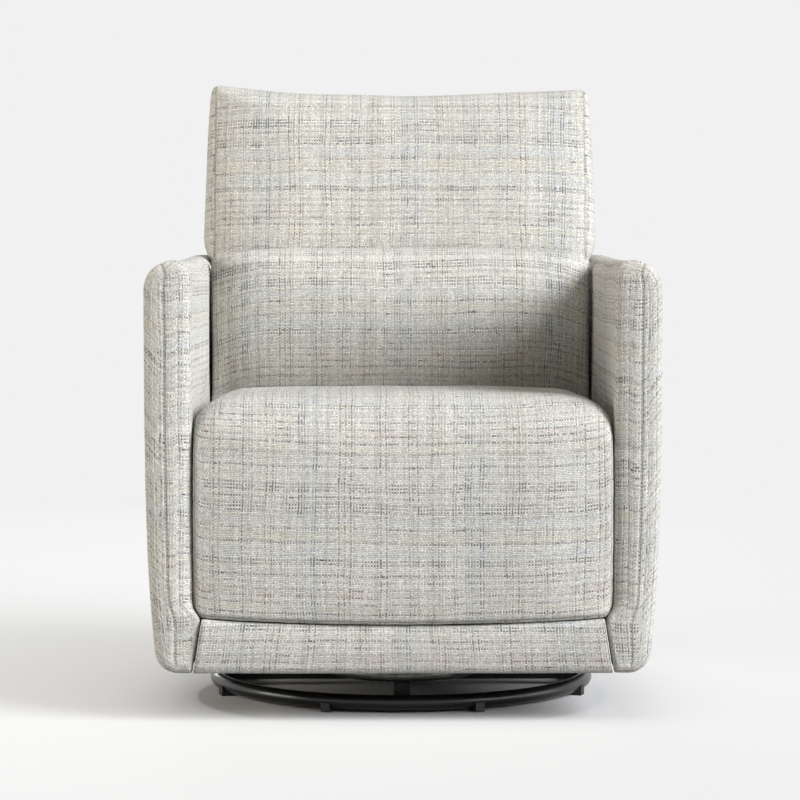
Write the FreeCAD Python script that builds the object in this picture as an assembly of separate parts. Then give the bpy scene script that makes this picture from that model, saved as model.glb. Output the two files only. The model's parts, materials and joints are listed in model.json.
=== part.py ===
import FreeCAD, Part
import math
import os

# Swivel glider chair. Millimetres, +Z up, the chair faces -Y.
# The origin is on the floor, under the swivel axis.

# Upholstered shell: two slab arms and a low wrap-around back
overall_width = 740.0
arm_front_reach = 388.0
shell_rear_reach = 400.0
arm_height = 665.0
skirt_height = 72.0
shell_thickness = 68.0
shell_corner_radius = 88.0
arm_top_outer_radius = 38.0
arm_top_flat = 2.0
arm_nose_radius = 15.0
arm_foot_radius = 36.0
hem_radius = 17.0
side_draw_start = 412.0
side_draw_radius = 4300.0
arm_inner_padding = 23.0
nose_padding = 22.0
top_padding = 36.0
hem_height = 16.0
front_rail_height = 75.0
front_rail_edge_radius = 14.0
mitre_run = 12.0
toe_setback = 5.0

# Seat, lumbar and back cushions
seat_height = 480.0
seat_front_crown = 12.0
seat_side_drop = 46.0
seat_crown_rise = 6.0
seat_front_draw = 14.0
seat_edge_radius = 58.0
seat_rear_fall = 12.0
seat_front_bow = 4.0
seat_front_fall = 4.0
seat_front_bulge = 2.0
seat_bulge_drop = 30.0
seat_front_tuck = 6.0
seat_crown_shift = 40.0
seat_edge_tighten = 14.0
seat_side_sharpness = 12
seat_corner_radius = 14.0
lumbar_height = 187.0
lumbar_thickness = 108.0
lumbar_edge_radius = 26.0
lumbar_foot_radius = 14.0
lumbar_crown = 16.0
lumbar_bow = 4.0
lumbar_sink = 5.0
back_height = 933.0
back_dip = 13.0
back_ear_rise = 1.4
back_ear_sharpness = 30
back_end_drop = 22.0
back_cushion_thickness = 164.0
back_end_draw = 30.0
back_crown = 6.0
back_bulge = 3.0
back_top_radius = 34.0
back_rear_radius = 18.0
back_setback = 282.0
back_rake = 9.0
outside_pad_thickness = 14.0
outside_pad_corner = 20.0
outside_pad_edge = 8.4
outside_pad_inset = 14.0
outside_pad_top_drop = 14.0
cushion_end_sharpness = 10
cushion_stations = (0.4, 0.7, 0.84, 0.92, 0.97, 1.0)

# Wooden frame
panel_thickness = 18.0
board_thickness = 22.0
frame_bottom = 140.0
frame_top = 314.0
runner_width = 45.0
runner_side_gap = 2.0
spring_rail_height = 60.0
spring_rail_setback = 28.0
rear_board_setback = 4.0
corner_block_leg = 70.0
corner_block_height = 60.0
shell_spacer_width = 60.0
shell_spacer_height = 70.0
shell_spacer_offset = 150.0
shell_spacer_lift = 10.0
post_width = 32.0
post_depth = 32.0
post_side_padding = 16.0
post_bolt_inset = 45.0
back_rail_height = 60.0
back_rail_lift = 20.0
back_rail_count = 3
frame_top_padding = 40.0
webbing_width = 60.0
webbing_thickness = 2.0
webbing_count = 5
webbing_lift = 40.0
webbing_top_gap = 10.0

# Springs and deck
wire_diameter = 4.0
seat_spring_count = 5
spring_pitch = 26.0
spring_run = 42.0
clip_width = 26.0
clip_depth = 16.0
clip_wall = 1.5
dust_cover_thickness = 1.5
dust_cover_rear_gap = 60.0

# Ring base
ring_diameter = 592.0
ring_tube = 22.0
glide_lift = 5.0
glide_count = 8
glide_width = 14.0
glide_lip = 2.0
glide_cup = 9.0
glide_edge_radius = 1.5
spoke_count = 4
spoke_width = 24.0
spoke_depth = 12.0
spoke_start = 40.0
hub_radius = 120.0
hub_plate = 3.0

# Ball bearing swivel
ball_diameter = 8.0
ball_count = 20
ball_circle_radius = 80.0
race_width = 30.0
race_plate = 4.0
race_gap = 6.0
cage_thickness = 2.0
cage_width = 18.0
pivot_diameter = 16.0
pivot_head_flats = 24.0
pivot_head_height = 8.0
pivot_end = 3.0
nut_height = 10.0
washer_thickness = 2.0
washer_radius = 15.0
bush_wall = 3.0
bush_flange = 2.0
bush_flange_width = 5.0

# Carriage and the four hanging links
carriage_length = 240.0
carriage_plate = 5.0
carriage_corner = 20.0
carriage_window = 26.0
carriage_window_inset = 48.0
carriage_window_y = 74.0
upright_plate = 4.0
mechanism_inset = 144.0
upright_post = 32.0
upright_web = 66.0
upright_corner = 12.0
upright_foot = 40.0
upright_window = 16.5
upright_window_height = 36.3
rivet_diameter = 8.0
rivet_head = 14.0
rivet_head_top = 9.4
rivet_head_height = 3.0
rivet_count = 3
rivet_span = 180.0
pivot_spread = 110.0
lower_pivot_height = 96.0
link_length = 95.0
link_thickness = 5.0
link_waist = 22.0
link_eye_radius = 15.0
bearing_radius = 9.0
bearing_overhang = 0.5
pin_diameter = 10.0
pin_head_radius = 9.0
pin_head_height = 4.0
pin_collar_radius = 8.0
pin_ring_thickness = 2.2
pin_end = 1.0
link_side_gap = 5.0
glide_angle = 30.0

# Seat rails, which hang on the links
rail_plate = 4.0
rail_length = 430.0
rail_flange = 46.0
rail_edge = 16.0
rail_side_gap = 8.0
tie_diameter = 16.0
tie_setback = 15.0
bumper_diameter = 16.0
bolt_diameter = 8.0
bolt_head_flats = 13.0
bolt_head_height = 5.5
bolt_grip = 40.0
bolt_row = (-170.0, -60.0, 60.0, 170.0)
arm_bolt_row = (-250.0, -60.0, 130.0)
arm_bolt_height = 227.0
arm_bolt_bite = 14.0

# Clearances
soft_gap = 0.3
fit_gap = 0.05
run_gap = 0.2
ball_gap = 0.3
stop_gap = 0.5
headroom = 9.0

# How far a cut passes a face, and how near a point counts as on it
cut_over = 1.0
near = 0.01

# Places worked out from the sizes above
outer_half = overall_width / 2
inner_half = outer_half - shell_thickness
arm_front = -arm_front_reach
corner_x = outer_half - shell_corner_radius
corner_y = shell_rear_reach - shell_corner_radius
panel_inner = inner_half + arm_inner_padding
panel_outer = panel_inner + panel_thickness
panel_front = arm_front + nose_padding
panel_bottom = skirt_height + hem_height
panel_top = arm_height - top_padding
rear_panel_y = shell_rear_reach - shell_thickness + arm_inner_padding
seat_bottom = skirt_height + front_rail_height
deck_height = frame_top + wire_diameter + clip_wall + soft_gap
front_board_rear = panel_front + board_thickness
back_face = shell_rear_reach - back_setback
rear_board_rear = corner_y - rear_board_setback
rear_board_front = rear_board_rear - board_thickness
side_board_inner = panel_inner - board_thickness

ring_radius = (ring_diameter - ring_tube) / 2
ring_z = glide_lift + ring_tube / 2
hub_z = ring_z + spoke_depth / 2
lower_race_z = hub_z + hub_plate
ball_z = lower_race_z + race_plate + race_gap / 2
upper_race_z = ball_z + race_gap / 2
carriage_z = upper_race_z + race_plate
carriage_top = carriage_z + carriage_plate
upright_inner = inner_half - mechanism_inset
upright_outer = upright_inner + upright_plate
carriage_window_x = upright_inner - upright_foot - carriage_window_inset
upper_pivot_height = lower_pivot_height + link_length
link_inner = upright_outer + link_side_gap
link_outer = link_inner + link_thickness
rail_inner = link_outer + rail_side_gap
rail_outer = rail_inner + rail_plate
rail_top = frame_bottom
runner_inner = rail_inner + runner_side_gap
bolt_x = runner_inner + runner_width / 2
runner_top = upper_pivot_height + link_eye_radius + headroom
upright_half = pivot_spread + upright_post / 2
tie_y = rail_length / 2 - tie_setback
glide_travel = link_length * math.sin(math.radians(glide_angle))
pin_radius = pin_diameter / 2
pivot_radius = pivot_diameter / 2
rake_slope = math.tan(math.radians(back_rake))
rake_sine = math.sin(math.radians(back_rake))
rake_cosine = math.cos(math.radians(back_rake))
back_top = seat_height + (back_height - seat_height
                          + back_top_radius * (rake_sine + rake_cosine - 1)) / rake_cosine
back_middle_top = back_top - back_dip
post_top = back_middle_top - frame_top_padding
back_rear = back_face + back_cushion_thickness
back_half = inner_half - 2 * soft_gap
post_outer = back_half - post_side_padding
post_inner = post_outer - post_width


def vec(x, y, z):
    return FreeCAD.Vector(x, y, z)


def box(x0, x1, y0, y1, z0, z1):
    return Part.makeBox(x1 - x0, y1 - y0, z1 - z0, vec(x0, y0, z0))


def rod_x(x0, x1, radius, y, z):
    return Part.makeCylinder(radius, x1 - x0, vec(x0, y, z), vec(1, 0, 0))


def rod_y(y0, y1, radius, x, z):
    return Part.makeCylinder(radius, y1 - y0, vec(x, y0, z), vec(0, 1, 0))


def rod_z(z0, z1, radius, x=0.0, y=0.0):
    return Part.makeCylinder(radius, z1 - z0, vec(x, y, z0))


def hex_z(z0, z1, flats, x=0.0, y=0.0):
    radius = flats / math.sqrt(3)
    angles = [math.radians(60 * k) for k in range(6)]
    corners = [vec(x + radius * math.cos(angle), y + radius * math.sin(angle), z0) for angle in angles]
    return Part.Face(Part.makePolygon(corners + corners[:1])).extrude(vec(0, 0, z1 - z0))


def hex_x(x0, x1, flats, y, z):
    head = hex_z(0.0, x1 - x0, flats)
    head.rotate(vec(0, 0, 0), vec(0, 1, 0), 90)
    head.translate(vec(x0, y, z))
    return head


def mirrored(shape):
    return shape.mirror(vec(0, 0, 0), vec(1, 0, 0))


def both_sides(shapes):
    return list(shapes) + [mirrored(shape) for shape in shapes]


def group(shapes):
    return Part.makeCompound(shapes)


def outline(start, steps, place):
    """Closed wire: a step is an end point, or a middle and an end point of an arc."""
    edges = []
    here = start
    for step in steps:
        if len(step) == 1:
            edges.append(Part.LineSegment(place(*here), place(*step[0])).toShape())
        else:
            edges.append(Part.Arc(place(*here), place(*step[0]), place(*step[1])).toShape())
        here = step[-1]
    return Part.Wire(edges)


def arc_middle(centre, radius, start_angle, end_angle):
    angle = math.radians((start_angle + end_angle) / 2)
    return (centre[0] + radius * math.cos(angle), centre[1] + radius * math.sin(angle))


def raked(shape):
    """Leans a shape back about the line where the back's face meets the seat height."""
    leaned = shape.copy()
    leaned.rotate(vec(0, back_face, seat_height), vec(1, 0, 0), -back_rake)
    return leaned


def raked_point(depth, height):
    """Y and Z of a point behind the upright back face, after the back is leaned."""
    rise = height - seat_height
    y = back_face + depth * rake_cosine + rise * rake_sine
    z = seat_height - depth * rake_sine + rise * rake_cosine
    return y, z


def front_of_back(z):
    """Y of the leaned back's front face at a height."""
    return back_face + (z - seat_height) * rake_slope


# Shell profile, from the inner face outwards
def shell_profile(place):
    width = shell_thickness
    inner_radius = width - arm_top_outer_radius - arm_top_flat
    sine = (side_draw_start - skirt_height - arm_foot_radius) / (side_draw_radius - arm_foot_radius)
    draw_angle = math.degrees(math.asin(sine))
    side_centre = (width - side_draw_radius, side_draw_start)
    foot_centre = (side_centre[0] + (side_draw_radius - arm_foot_radius) * math.cos(math.radians(draw_angle)),
                   skirt_height + arm_foot_radius)
    foot_end = arc_middle(foot_centre, arm_foot_radius, -draw_angle, -draw_angle)
    outer_centre = (width - arm_top_outer_radius, arm_height - arm_top_outer_radius)
    inner_centre = (inner_radius, arm_height - inner_radius)
    hem_centre = (hem_radius, skirt_height + hem_radius)
    steps = [
        [(foot_centre[0], skirt_height)],
        [arc_middle(foot_centre, arm_foot_radius, -90, -draw_angle), foot_end],
        [arc_middle(side_centre, side_draw_radius, -draw_angle, 0), (width, side_draw_start)],
        [(width, outer_centre[1])],
        [arc_middle(outer_centre, arm_top_outer_radius, 0, 90), (outer_centre[0], arm_height)],
        [(inner_radius, arm_height)],
        [arc_middle(inner_centre, inner_radius, 90, 180), (0.0, inner_centre[1])],
        [(0.0, hem_centre[1])],
        [arc_middle(hem_centre, hem_radius, 180, 270), (hem_radius, skirt_height)],
    ]
    return Part.Face(outline((hem_radius, skirt_height), steps, place))


def right_arm():
    profile = shell_profile(lambda t, z: vec(inner_half + t, arm_front, z))
    arm = profile.extrude(vec(0, corner_y - arm_front, 0))
    nose = [edge for edge in arm.Edges
            if all(abs(v.Point.y - arm_front) < near for v in edge.Vertexes)]
    arm = arm.makeFillet(arm_nose_radius, nose)
    toe_front = arm_front + toe_setback
    toe_top = seat_bottom - soft_gap
    toe_outer = inner_half + hem_radius + cut_over
    toe = [vec(toe_outer, toe_front, skirt_height),
           vec(inner_half, toe_front, skirt_height),
           vec(inner_half - mitre_run + soft_gap, toe_front, toe_top),
           vec(toe_outer, toe_front, toe_top)]
    toe = Part.Face(Part.makePolygon(toe + toe[:1])).extrude(vec(0, panel_front - toe_front, 0))
    arm = arm.fuse(toe).removeSplitter()
    pocket = box(panel_inner, panel_outer, panel_front, corner_y + cut_over, panel_bottom, panel_top)
    bay = box(inner_half - mitre_run - cut_over, panel_inner, panel_front, corner_y + cut_over,
              panel_bottom, deck_height)
    return arm.cut(pocket).cut(bay)


def rear_shell():
    profile = shell_profile(lambda t, z: vec(inner_half + t, corner_y, z))
    corner = profile.revolve(vec(corner_x, corner_y, 0), vec(0, 0, 1), 90)
    wall_start = shell_rear_reach - shell_thickness
    wall = shell_profile(lambda t, z: vec(corner_x, wall_start + t, z)).extrude(vec(-2 * corner_x, 0, 0))
    shell = wall.multiFuse([corner, mirrored(corner)]).removeSplitter()
    low = skirt_height - cut_over
    pocket = box(-corner_x, corner_x, rear_panel_y, rear_panel_y + panel_thickness, low, panel_top)
    bay = box(-corner_x, corner_x, wall_start - cut_over, rear_panel_y, low, deck_height)
    return shell.cut(pocket).cut(bay)


def front_rail_pad():
    """Padded rail under the seat, hemmed below the front board, with mitred ends."""
    radius = front_rail_edge_radius
    top = seat_bottom - soft_gap
    low_centre = (arm_front + radius, skirt_height + radius)
    high_centre = (arm_front + radius, top - radius)
    steps = [
        [arc_middle(low_centre, radius, -90, -180), (arm_front, skirt_height + radius)],
        [(arm_front, top - radius)],
        [arc_middle(high_centre, radius, 180, 90), (arm_front + radius, top)],
        [(panel_front, top)],
        [(panel_front, panel_bottom)],
        [(front_board_rear, panel_bottom)],
        [(front_board_rear, skirt_height)],
        [(arm_front + radius, skirt_height)],
    ]
    start = (arm_front + radius, skirt_height)
    wire = outline(start, steps, lambda y, z: vec(-inner_half, y, z))
    rail = Part.Face(wire).extrude(vec(2 * inner_half, 0, 0))
    cut_front = arm_front - cut_over
    cut_low = skirt_height - cut_over
    cut_high = top + cut_over
    end = [vec(inner_half + cut_over, cut_front, cut_low),
           vec(inner_half - soft_gap, cut_front, cut_low),
           vec(inner_half - mitre_run - soft_gap, cut_front, cut_high),
           vec(inner_half + cut_over, cut_front, cut_high)]
    cut_length = front_board_rear + cut_over - cut_front
    end = Part.Face(Part.makePolygon(end + end[:1])).extrude(vec(0, cut_length, 0))
    return rail.cut(end).cut(mirrored(end))


# Stations of a cushion from one end to the other, close together where the ends draw in
def stations():
    half = list(cushion_stations)
    return [-s for s in reversed(half)] + [0.0] + half


def seat_cushion():
    half = inner_half - soft_gap
    bottom = seat_bottom
    wires = []
    for s in stations():
        end = s ** cushion_end_sharpness
        top = seat_height - seat_crown_rise * s ** 2 - seat_side_drop * s ** seat_side_sharpness
        face = arm_front - seat_front_crown + seat_front_bow * s ** 2 + seat_front_draw * end
        radius = seat_edge_radius - seat_edge_tighten * end
        front_top = top - seat_front_fall
        centre = (face + radius, front_top - radius)
        rear_top = top - seat_rear_fall
        rear = front_of_back(rear_top) - back_bulge - 2 * soft_gap
        steps = [
            [(face - seat_front_bulge, (bottom + top) / 2 - seat_bulge_drop), (face, centre[1])],
            [arc_middle(centre, radius, 180, 90), (centre[0], front_top)],
            [((centre[0] + rear) / 2 - seat_crown_shift, top), (rear, rear_top)],
            [(front_of_back(bottom) - back_bulge - 2 * soft_gap, bottom)],
            [(face + seat_front_tuck, bottom)],
        ]
        wires.append(outline((face + seat_front_tuck, bottom), steps, lambda y, z: vec(s * half, y, z)))
    cushion = Part.makeLoft(wires, True, False)
    well = box(-outer_half, outer_half, panel_front, outer_half, 0, deck_height)
    cushion = cushion.cut(well)
    radius = seat_corner_radius
    front = arm_front - seat_edge_radius
    inner = half - radius
    corner = box(inner, half + cut_over, front, panel_front + cut_over, bottom - cut_over, bottom + radius)
    corner = corner.cut(rod_y(front - cut_over, panel_front + 2 * cut_over, radius, inner, bottom + radius))
    return cushion.cut(corner).cut(mirrored(corner))


def lumbar_cushion():
    wires = []
    for s in stations():
        draw = lumbar_crown * s ** cushion_end_sharpness
        face = back_face - lumbar_thickness + lumbar_bow * s ** 2 + draw
        rear = back_face - back_bulge - 2 * soft_gap
        low = seat_height - lumbar_sink + draw / 2
        high = low + lumbar_height - lumbar_bow * s ** 2 - draw
        radius = lumbar_edge_radius
        slope = (rear - face) * rake_slope
        foot = lumbar_foot_radius
        low_centre = (face + foot, low - slope + foot)
        high_centre = (face + radius, high - radius)
        rear_centre = (rear - radius / 2, high - radius / 2)
        steps = [
            [(face - lumbar_crown / 2, (low_centre[1] + high_centre[1]) / 2), (face, high_centre[1])],
            [arc_middle(high_centre, radius, 180, 90), (high_centre[0], high)],
            [(rear_centre[0], high)],
            [arc_middle(rear_centre, radius / 2, 90, 0), (rear, rear_centre[1])],
            [(rear, low)],
            [(low_centre[0], low - slope + foot * rake_slope)],
            [arc_middle(low_centre, foot, 180, 270), (face, low_centre[1])],
        ]
        wires.append(outline((face, low_centre[1]), steps, lambda y, z: vec(s * back_half, y, z)))
    return raked(Part.makeLoft(wires, True, False))


def below_deck():
    return box(-outer_half, outer_half, -shell_rear_reach, shell_rear_reach, 0, deck_height + soft_gap)


def back_cushion():
    bottom = frame_bottom
    wires = []
    for s in stations():
        face = back_face + back_crown * s ** 2 + back_end_draw * s ** cushion_end_sharpness
        ears = back_ear_rise * back_dip * s ** 2
        top = back_middle_top + ears - back_end_drop * s ** back_ear_sharpness
        front_centre = (face + back_top_radius, top - back_top_radius)
        rear_centre = (back_rear - back_rear_radius, top - back_rear_radius)
        steps = [
            [(face - back_bulge, (bottom + top) / 2), (face, front_centre[1])],
            [arc_middle(front_centre, back_top_radius, 180, 90), (front_centre[0], top)],
            [(rear_centre[0], top)],
            [arc_middle(rear_centre, back_rear_radius, 90, 0), (back_rear, rear_centre[1])],
            [(back_rear, bottom)],
            [(face, bottom)],
        ]
        wires.append(outline((face, bottom), steps, lambda y, z: vec(s * back_half, y, z)))
    cushion = Part.makeLoft(wires, True, False)
    pocket_half = post_outer + fit_gap
    pocket_front = back_rear - post_depth - webbing_thickness - fit_gap
    pocket = box(-pocket_half, pocket_half, pocket_front, back_rear + cut_over, 0, post_top + fit_gap)
    return raked(cushion.cut(pocket)).cut(below_deck())


def outside_back():
    half = inner_half - outside_pad_inset
    rear_face = back_rear + outside_pad_thickness
    top = back_middle_top - outside_pad_top_drop
    pad = box(-half, half, back_rear, rear_face, frame_bottom, top)
    upright = [edge for edge in pad.Edges
               if all(v.Point.z > top - near for v in edge.Vertexes)
               and abs(edge.Vertexes[0].Point.y - edge.Vertexes[1].Point.y) > near]
    pad = pad.makeFillet(outside_pad_corner, upright)
    rear = [edge for edge in pad.Edges
            if all(abs(v.Point.y - rear_face) < near for v in edge.Vertexes)]
    return raked(pad.makeFillet(outside_pad_edge, rear)).cut(below_deck())


# Wooden frame
def front_board():
    return box(-panel_inner, panel_inner, panel_front, front_board_rear, panel_bottom, frame_top)


def rear_board():
    return box(-panel_inner, panel_inner, rear_board_front, rear_board_rear, frame_bottom, frame_top)


def arm_bolt_spots():
    return [(y, arm_bolt_height) for y in arm_bolt_row]


def post_bolt_spots():
    middle = back_cushion_thickness - post_depth / 2
    heights = (frame_bottom + post_bolt_inset, frame_top - post_bolt_inset)
    spots = []
    for height in heights:
        upright_height = seat_height + (height - seat_height) / rake_cosine
        spots.append(raked_point(middle, upright_height))
    return spots


def side_board():
    board = box(side_board_inner, panel_inner, front_board_rear, rear_board_front, frame_bottom, frame_top)
    for y, z in arm_bolt_spots() + post_bolt_spots():
        board = board.cut(rod_x(side_board_inner - cut_over, panel_inner + cut_over,
                                bolt_diameter / 2 + fit_gap, y, z))
    return board


def arm_panel():
    panel = box(panel_inner, panel_outer, panel_front, corner_y, panel_bottom, panel_top)
    edges = [edge for edge in panel.Edges
             if edge.Length < panel_thickness + near and edge.Vertexes[0].Point.z > panel_top - near
             and edge.Vertexes[0].Point.y < 0]
    panel = panel.makeFillet(top_padding, edges)
    for y, z in arm_bolt_spots():
        panel = panel.cut(rod_x(panel_inner - cut_over, panel_inner + arm_bolt_bite + cut_over,
                                bolt_diameter / 2 + fit_gap, y, z))
    return panel


def rear_panel():
    return box(-corner_x, corner_x, rear_panel_y, rear_panel_y + panel_thickness, panel_bottom, panel_top)


def shell_spacer():
    low = frame_bottom + shell_spacer_lift
    return box(shell_spacer_offset - shell_spacer_width / 2, shell_spacer_offset + shell_spacer_width / 2,
               rear_board_rear, rear_panel_y, low, low + shell_spacer_height)


def runner():
    board = box(runner_inner, runner_inner + runner_width, front_board_rear, rear_board_front,
                frame_bottom, runner_top)
    for y in bolt_row:
        board = board.cut(rod_z(frame_bottom - cut_over, frame_bottom + bolt_grip + cut_over,
                                bolt_diameter / 2 + fit_gap, bolt_x, y))
    return board


def spring_rail():
    rear = front_of_back(frame_top) + spring_rail_setback
    return box(-side_board_inner, side_board_inner, rear, rear + board_thickness,
               frame_top - spring_rail_height, frame_top)


def corner_block():
    x, y = side_board_inner, front_board_rear
    leg = corner_block_leg
    low = frame_top - corner_block_height - wire_diameter
    corners = [vec(x, y, low), vec(x - leg, y, low), vec(x, y + leg, low)]
    return Part.Face(Part.makePolygon(corners + corners[:1])).extrude(vec(0, 0, corner_block_height))


def back_post():
    post = raked(box(post_inner, post_outer, back_rear - post_depth, back_rear, 0, post_top))
    post = post.common(box(0, outer_half, 0, shell_rear_reach, frame_bottom, back_height))
    for y, z in post_bolt_spots():
        post = post.cut(rod_x(post_inner - cut_over, post_outer + cut_over,
                              bolt_diameter / 2 + fit_gap, y, z))
    return post


def post_spacer():
    """Block that packs a back post out to the side board."""
    block = raked(box(post_outer, side_board_inner, back_rear - post_depth, back_rear, 0, back_height))
    block = block.common(box(0, outer_half, 0, shell_rear_reach, frame_bottom, frame_top))
    for y, z in post_bolt_spots():
        block = block.cut(rod_x(post_outer - cut_over, side_board_inner + cut_over,
                                bolt_diameter / 2 + fit_gap, y, z))
    return block


def back_rails():
    low = deck_height + back_rail_lift
    step = (post_top - back_rail_height - low) / (back_rail_count - 1)
    return [raked(box(-post_inner, post_inner, back_rear - post_depth, back_rear, low + k * step,
                      low + k * step + back_rail_height))
            for k in range(back_rail_count)]


def back_webbing():
    front = back_rear - post_depth
    low = deck_height + webbing_lift
    step = (post_top - webbing_width - low - webbing_top_gap) / (webbing_count - 1)
    return [raked(box(-post_outer, post_outer, front - webbing_thickness, front, low + k * step,
                      low + k * step + webbing_width))
            for k in range(webbing_count)]


def frame_bolt(x0, x1, y, z):
    head = hex_x(x0 - bolt_head_height, x0, bolt_head_flats, y, z)
    return head.fuse(rod_x(x0 - bolt_head_height / 2, x1, bolt_diameter / 2, y, z))


def frame_bolts():
    arm = [frame_bolt(side_board_inner, panel_inner + arm_bolt_bite, y, z) for y, z in arm_bolt_spots()]
    post = [frame_bolt(post_inner, panel_inner, y, z) for y, z in post_bolt_spots()]
    return both_sides(arm + post)


# Springs
def spring_ends():
    front = panel_front + board_thickness / 2
    rear = front_of_back(frame_top) + spring_rail_setback + board_thickness / 2
    return front, rear


def spring_places():
    span = 2 * (side_board_inner - corner_block_leg)
    step = span / seat_spring_count
    return [(k - (seat_spring_count - 1) / 2) * step for k in range(seat_spring_count)]


def seat_spring(x):
    """Sinuous wire: straight runs across, joined by half turns."""
    front, rear = spring_ends()
    turns = round((rear - front) / spring_pitch)
    pitch = (rear - front) / turns
    z = frame_top + wire_diameter / 2
    edges = []
    side = 1
    for k in range(turns + 1):
        y = front + k * pitch
        edges.append(Part.LineSegment(vec(x - side * spring_run / 2, y, z),
                                      vec(x + side * spring_run / 2, y, z)).toShape())
        if k < turns:
            bend = x + side * spring_run / 2
            edges.append(Part.Arc(vec(bend, y, z), vec(bend + side * pitch / 2, y + pitch / 2, z),
                                  vec(bend, y + pitch, z)).toShape())
        side = -side
    ring = Part.Wire(Part.makeCircle(wire_diameter / 2, vec(x - spring_run / 2, front, z), vec(1, 0, 0)))
    return Part.Wire(edges).makePipeShell([ring], True, False)


def spring_clip(x, y):
    top = frame_top + wire_diameter + clip_wall
    clip = box(x - clip_width / 2, x + clip_width / 2, y - clip_depth / 2, y + clip_depth / 2, frame_top, top)
    bore = wire_diameter / 2 + fit_gap
    clip = clip.cut(rod_x(x - clip_width, x + clip_width, bore, y, frame_top + wire_diameter / 2))
    return clip.cut(box(x - clip_width, x + clip_width, y - bore, y + bore,
                        frame_top - cut_over, frame_top + wire_diameter / 2))


def dust_cover():
    front = front_board_rear + soft_gap
    rear = raked_point(back_cushion_thickness - post_depth, runner_top)[0] - dust_cover_rear_gap
    half = side_board_inner - soft_gap
    return box(-half, half, front, rear, runner_top, runner_top + dust_cover_thickness)


# Ring base
def base_ring():
    return Part.makeTorus(ring_radius, ring_tube / 2, vec(0, 0, ring_z))


def spokes():
    cope = Part.makeTorus(ring_radius, ring_tube / 2 + fit_gap, vec(0, 0, ring_z))
    bar = box(spoke_start, ring_radius, -spoke_width / 2, spoke_width / 2,
              ring_z - spoke_depth / 2, ring_z + spoke_depth / 2).cut(cope)
    result = []
    for k in range(spoke_count):
        spoke = bar.copy()
        spoke.rotate(vec(0, 0, 0), vec(0, 0, 1), k * 360 / spoke_count)
        result.append(spoke)
    return result


def floor_glides():
    """Clip-on glides that cup the tube from below."""
    reach = ring_tube / 2 + glide_lip
    block = box(ring_radius - reach, ring_radius + reach, -glide_width / 2, glide_width / 2,
                0, glide_lift + glide_cup)
    edges = [edge for edge in block.Edges
             if all(v.Point.z < 0.01 for v in edge.Vertexes)]
    block = block.makeFillet(glide_edge_radius, edges)
    block = block.cut(Part.makeTorus(ring_radius, ring_tube / 2 + fit_gap, vec(0, 0, ring_z)))
    result = []
    for k in range(glide_count):
        glide = block.copy()
        glide.rotate(vec(0, 0, 0), vec(0, 0, 1), (k + 0.5) * 360 / glide_count)
        result.append(glide)
    return result


def hub_disc():
    disc = rod_z(hub_z, hub_z + hub_plate, hub_radius)
    return disc.cut(rod_z(hub_z - cut_over, hub_z + hub_plate + cut_over, pivot_radius + fit_gap))


# Swivel bearing
def race(z0):
    outer = ball_circle_radius + race_width / 2
    inner = ball_circle_radius - race_width / 2
    ring = rod_z(z0, z0 + race_plate, outer)
    ring = ring.cut(rod_z(z0 - cut_over, z0 + race_plate + cut_over, inner))
    return ring.cut(Part.makeTorus(ball_circle_radius, ball_diameter / 2 + ball_gap, vec(0, 0, ball_z)))


def ball_spots():
    return [(ball_circle_radius * math.cos(2 * math.pi * k / ball_count),
             ball_circle_radius * math.sin(2 * math.pi * k / ball_count)) for k in range(ball_count)]


def ball_cage():
    low = ball_z - cage_thickness / 2
    high = ball_z + cage_thickness / 2
    cage = rod_z(low, high, ball_circle_radius + cage_width / 2)
    cage = cage.cut(rod_z(low - cut_over, high + cut_over, ball_circle_radius - cage_width / 2))
    hole_radius = (ball_diameter + ball_gap) / 2
    holes = [rod_z(low - cut_over, high + cut_over, hole_radius, x, y) for x, y in ball_spots()]
    return cage.cut(group(holes))


def bearing_balls():
    return [Part.makeSphere(ball_diameter / 2, vec(x, y, ball_z)) for x, y in ball_spots()]


def bush_top():
    return carriage_top + bush_flange


def washer_z():
    return bush_top() + run_gap


def pivot_bolt():
    top = washer_z() + washer_thickness + nut_height + pivot_end
    head = hex_z(hub_z - pivot_head_height, hub_z, pivot_head_flats)
    return head.fuse(rod_z(hub_z - cut_over, top, pivot_radius))


def thrust_washer():
    low = washer_z()
    ring = rod_z(low, low + washer_thickness, washer_radius)
    return ring.cut(rod_z(low - cut_over, low + washer_thickness + cut_over, pivot_radius + fit_gap))


def lock_nut():
    low = washer_z() + washer_thickness
    nut = hex_z(low, low + nut_height, pivot_head_flats)
    return nut.cut(rod_z(low - cut_over, low + nut_height + cut_over, pivot_radius + fit_gap))


def pivot_bush():
    outer = pivot_radius + fit_gap + bush_wall
    bush = rod_z(carriage_z, bush_top(), outer)
    bush = bush.fuse(rod_z(carriage_top, bush_top(), outer + bush_flange_width))
    return bush.cut(rod_z(carriage_z - cut_over, bush_top() + cut_over, pivot_radius + fit_gap))


# Carriage
def rivet_places():
    x = upright_inner - upright_foot / 2
    return [(x, (k / (rivet_count - 1) - 0.5) * rivet_span) for k in range(rivet_count)]


def carriage_plate_body():
    half = carriage_length / 2
    plate = box(-upright_outer, upright_outer, -half, half, carriage_z, carriage_top)
    corners = [edge for edge in plate.Edges
               if abs(edge.Vertexes[0].Point.z - edge.Vertexes[1].Point.z) > near]
    plate = plate.makeFillet(carriage_corner, corners)
    low = carriage_z - cut_over
    high = carriage_top + cut_over
    plate = plate.cut(rod_z(low, high, pivot_radius + 2 * fit_gap + bush_wall))
    for x in (-carriage_window_x, carriage_window_x):
        for y in (-carriage_window_y, carriage_window_y):
            plate = plate.cut(rod_z(low, high, carriage_window, x, y))
    for x, y in rivet_places():
        plate = plate.cut(rod_z(low, high, rivet_diameter / 2 + fit_gap, x, y))
        plate = plate.cut(rod_z(low, high, rivet_diameter / 2 + fit_gap, -x, y))
    return plate


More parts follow.
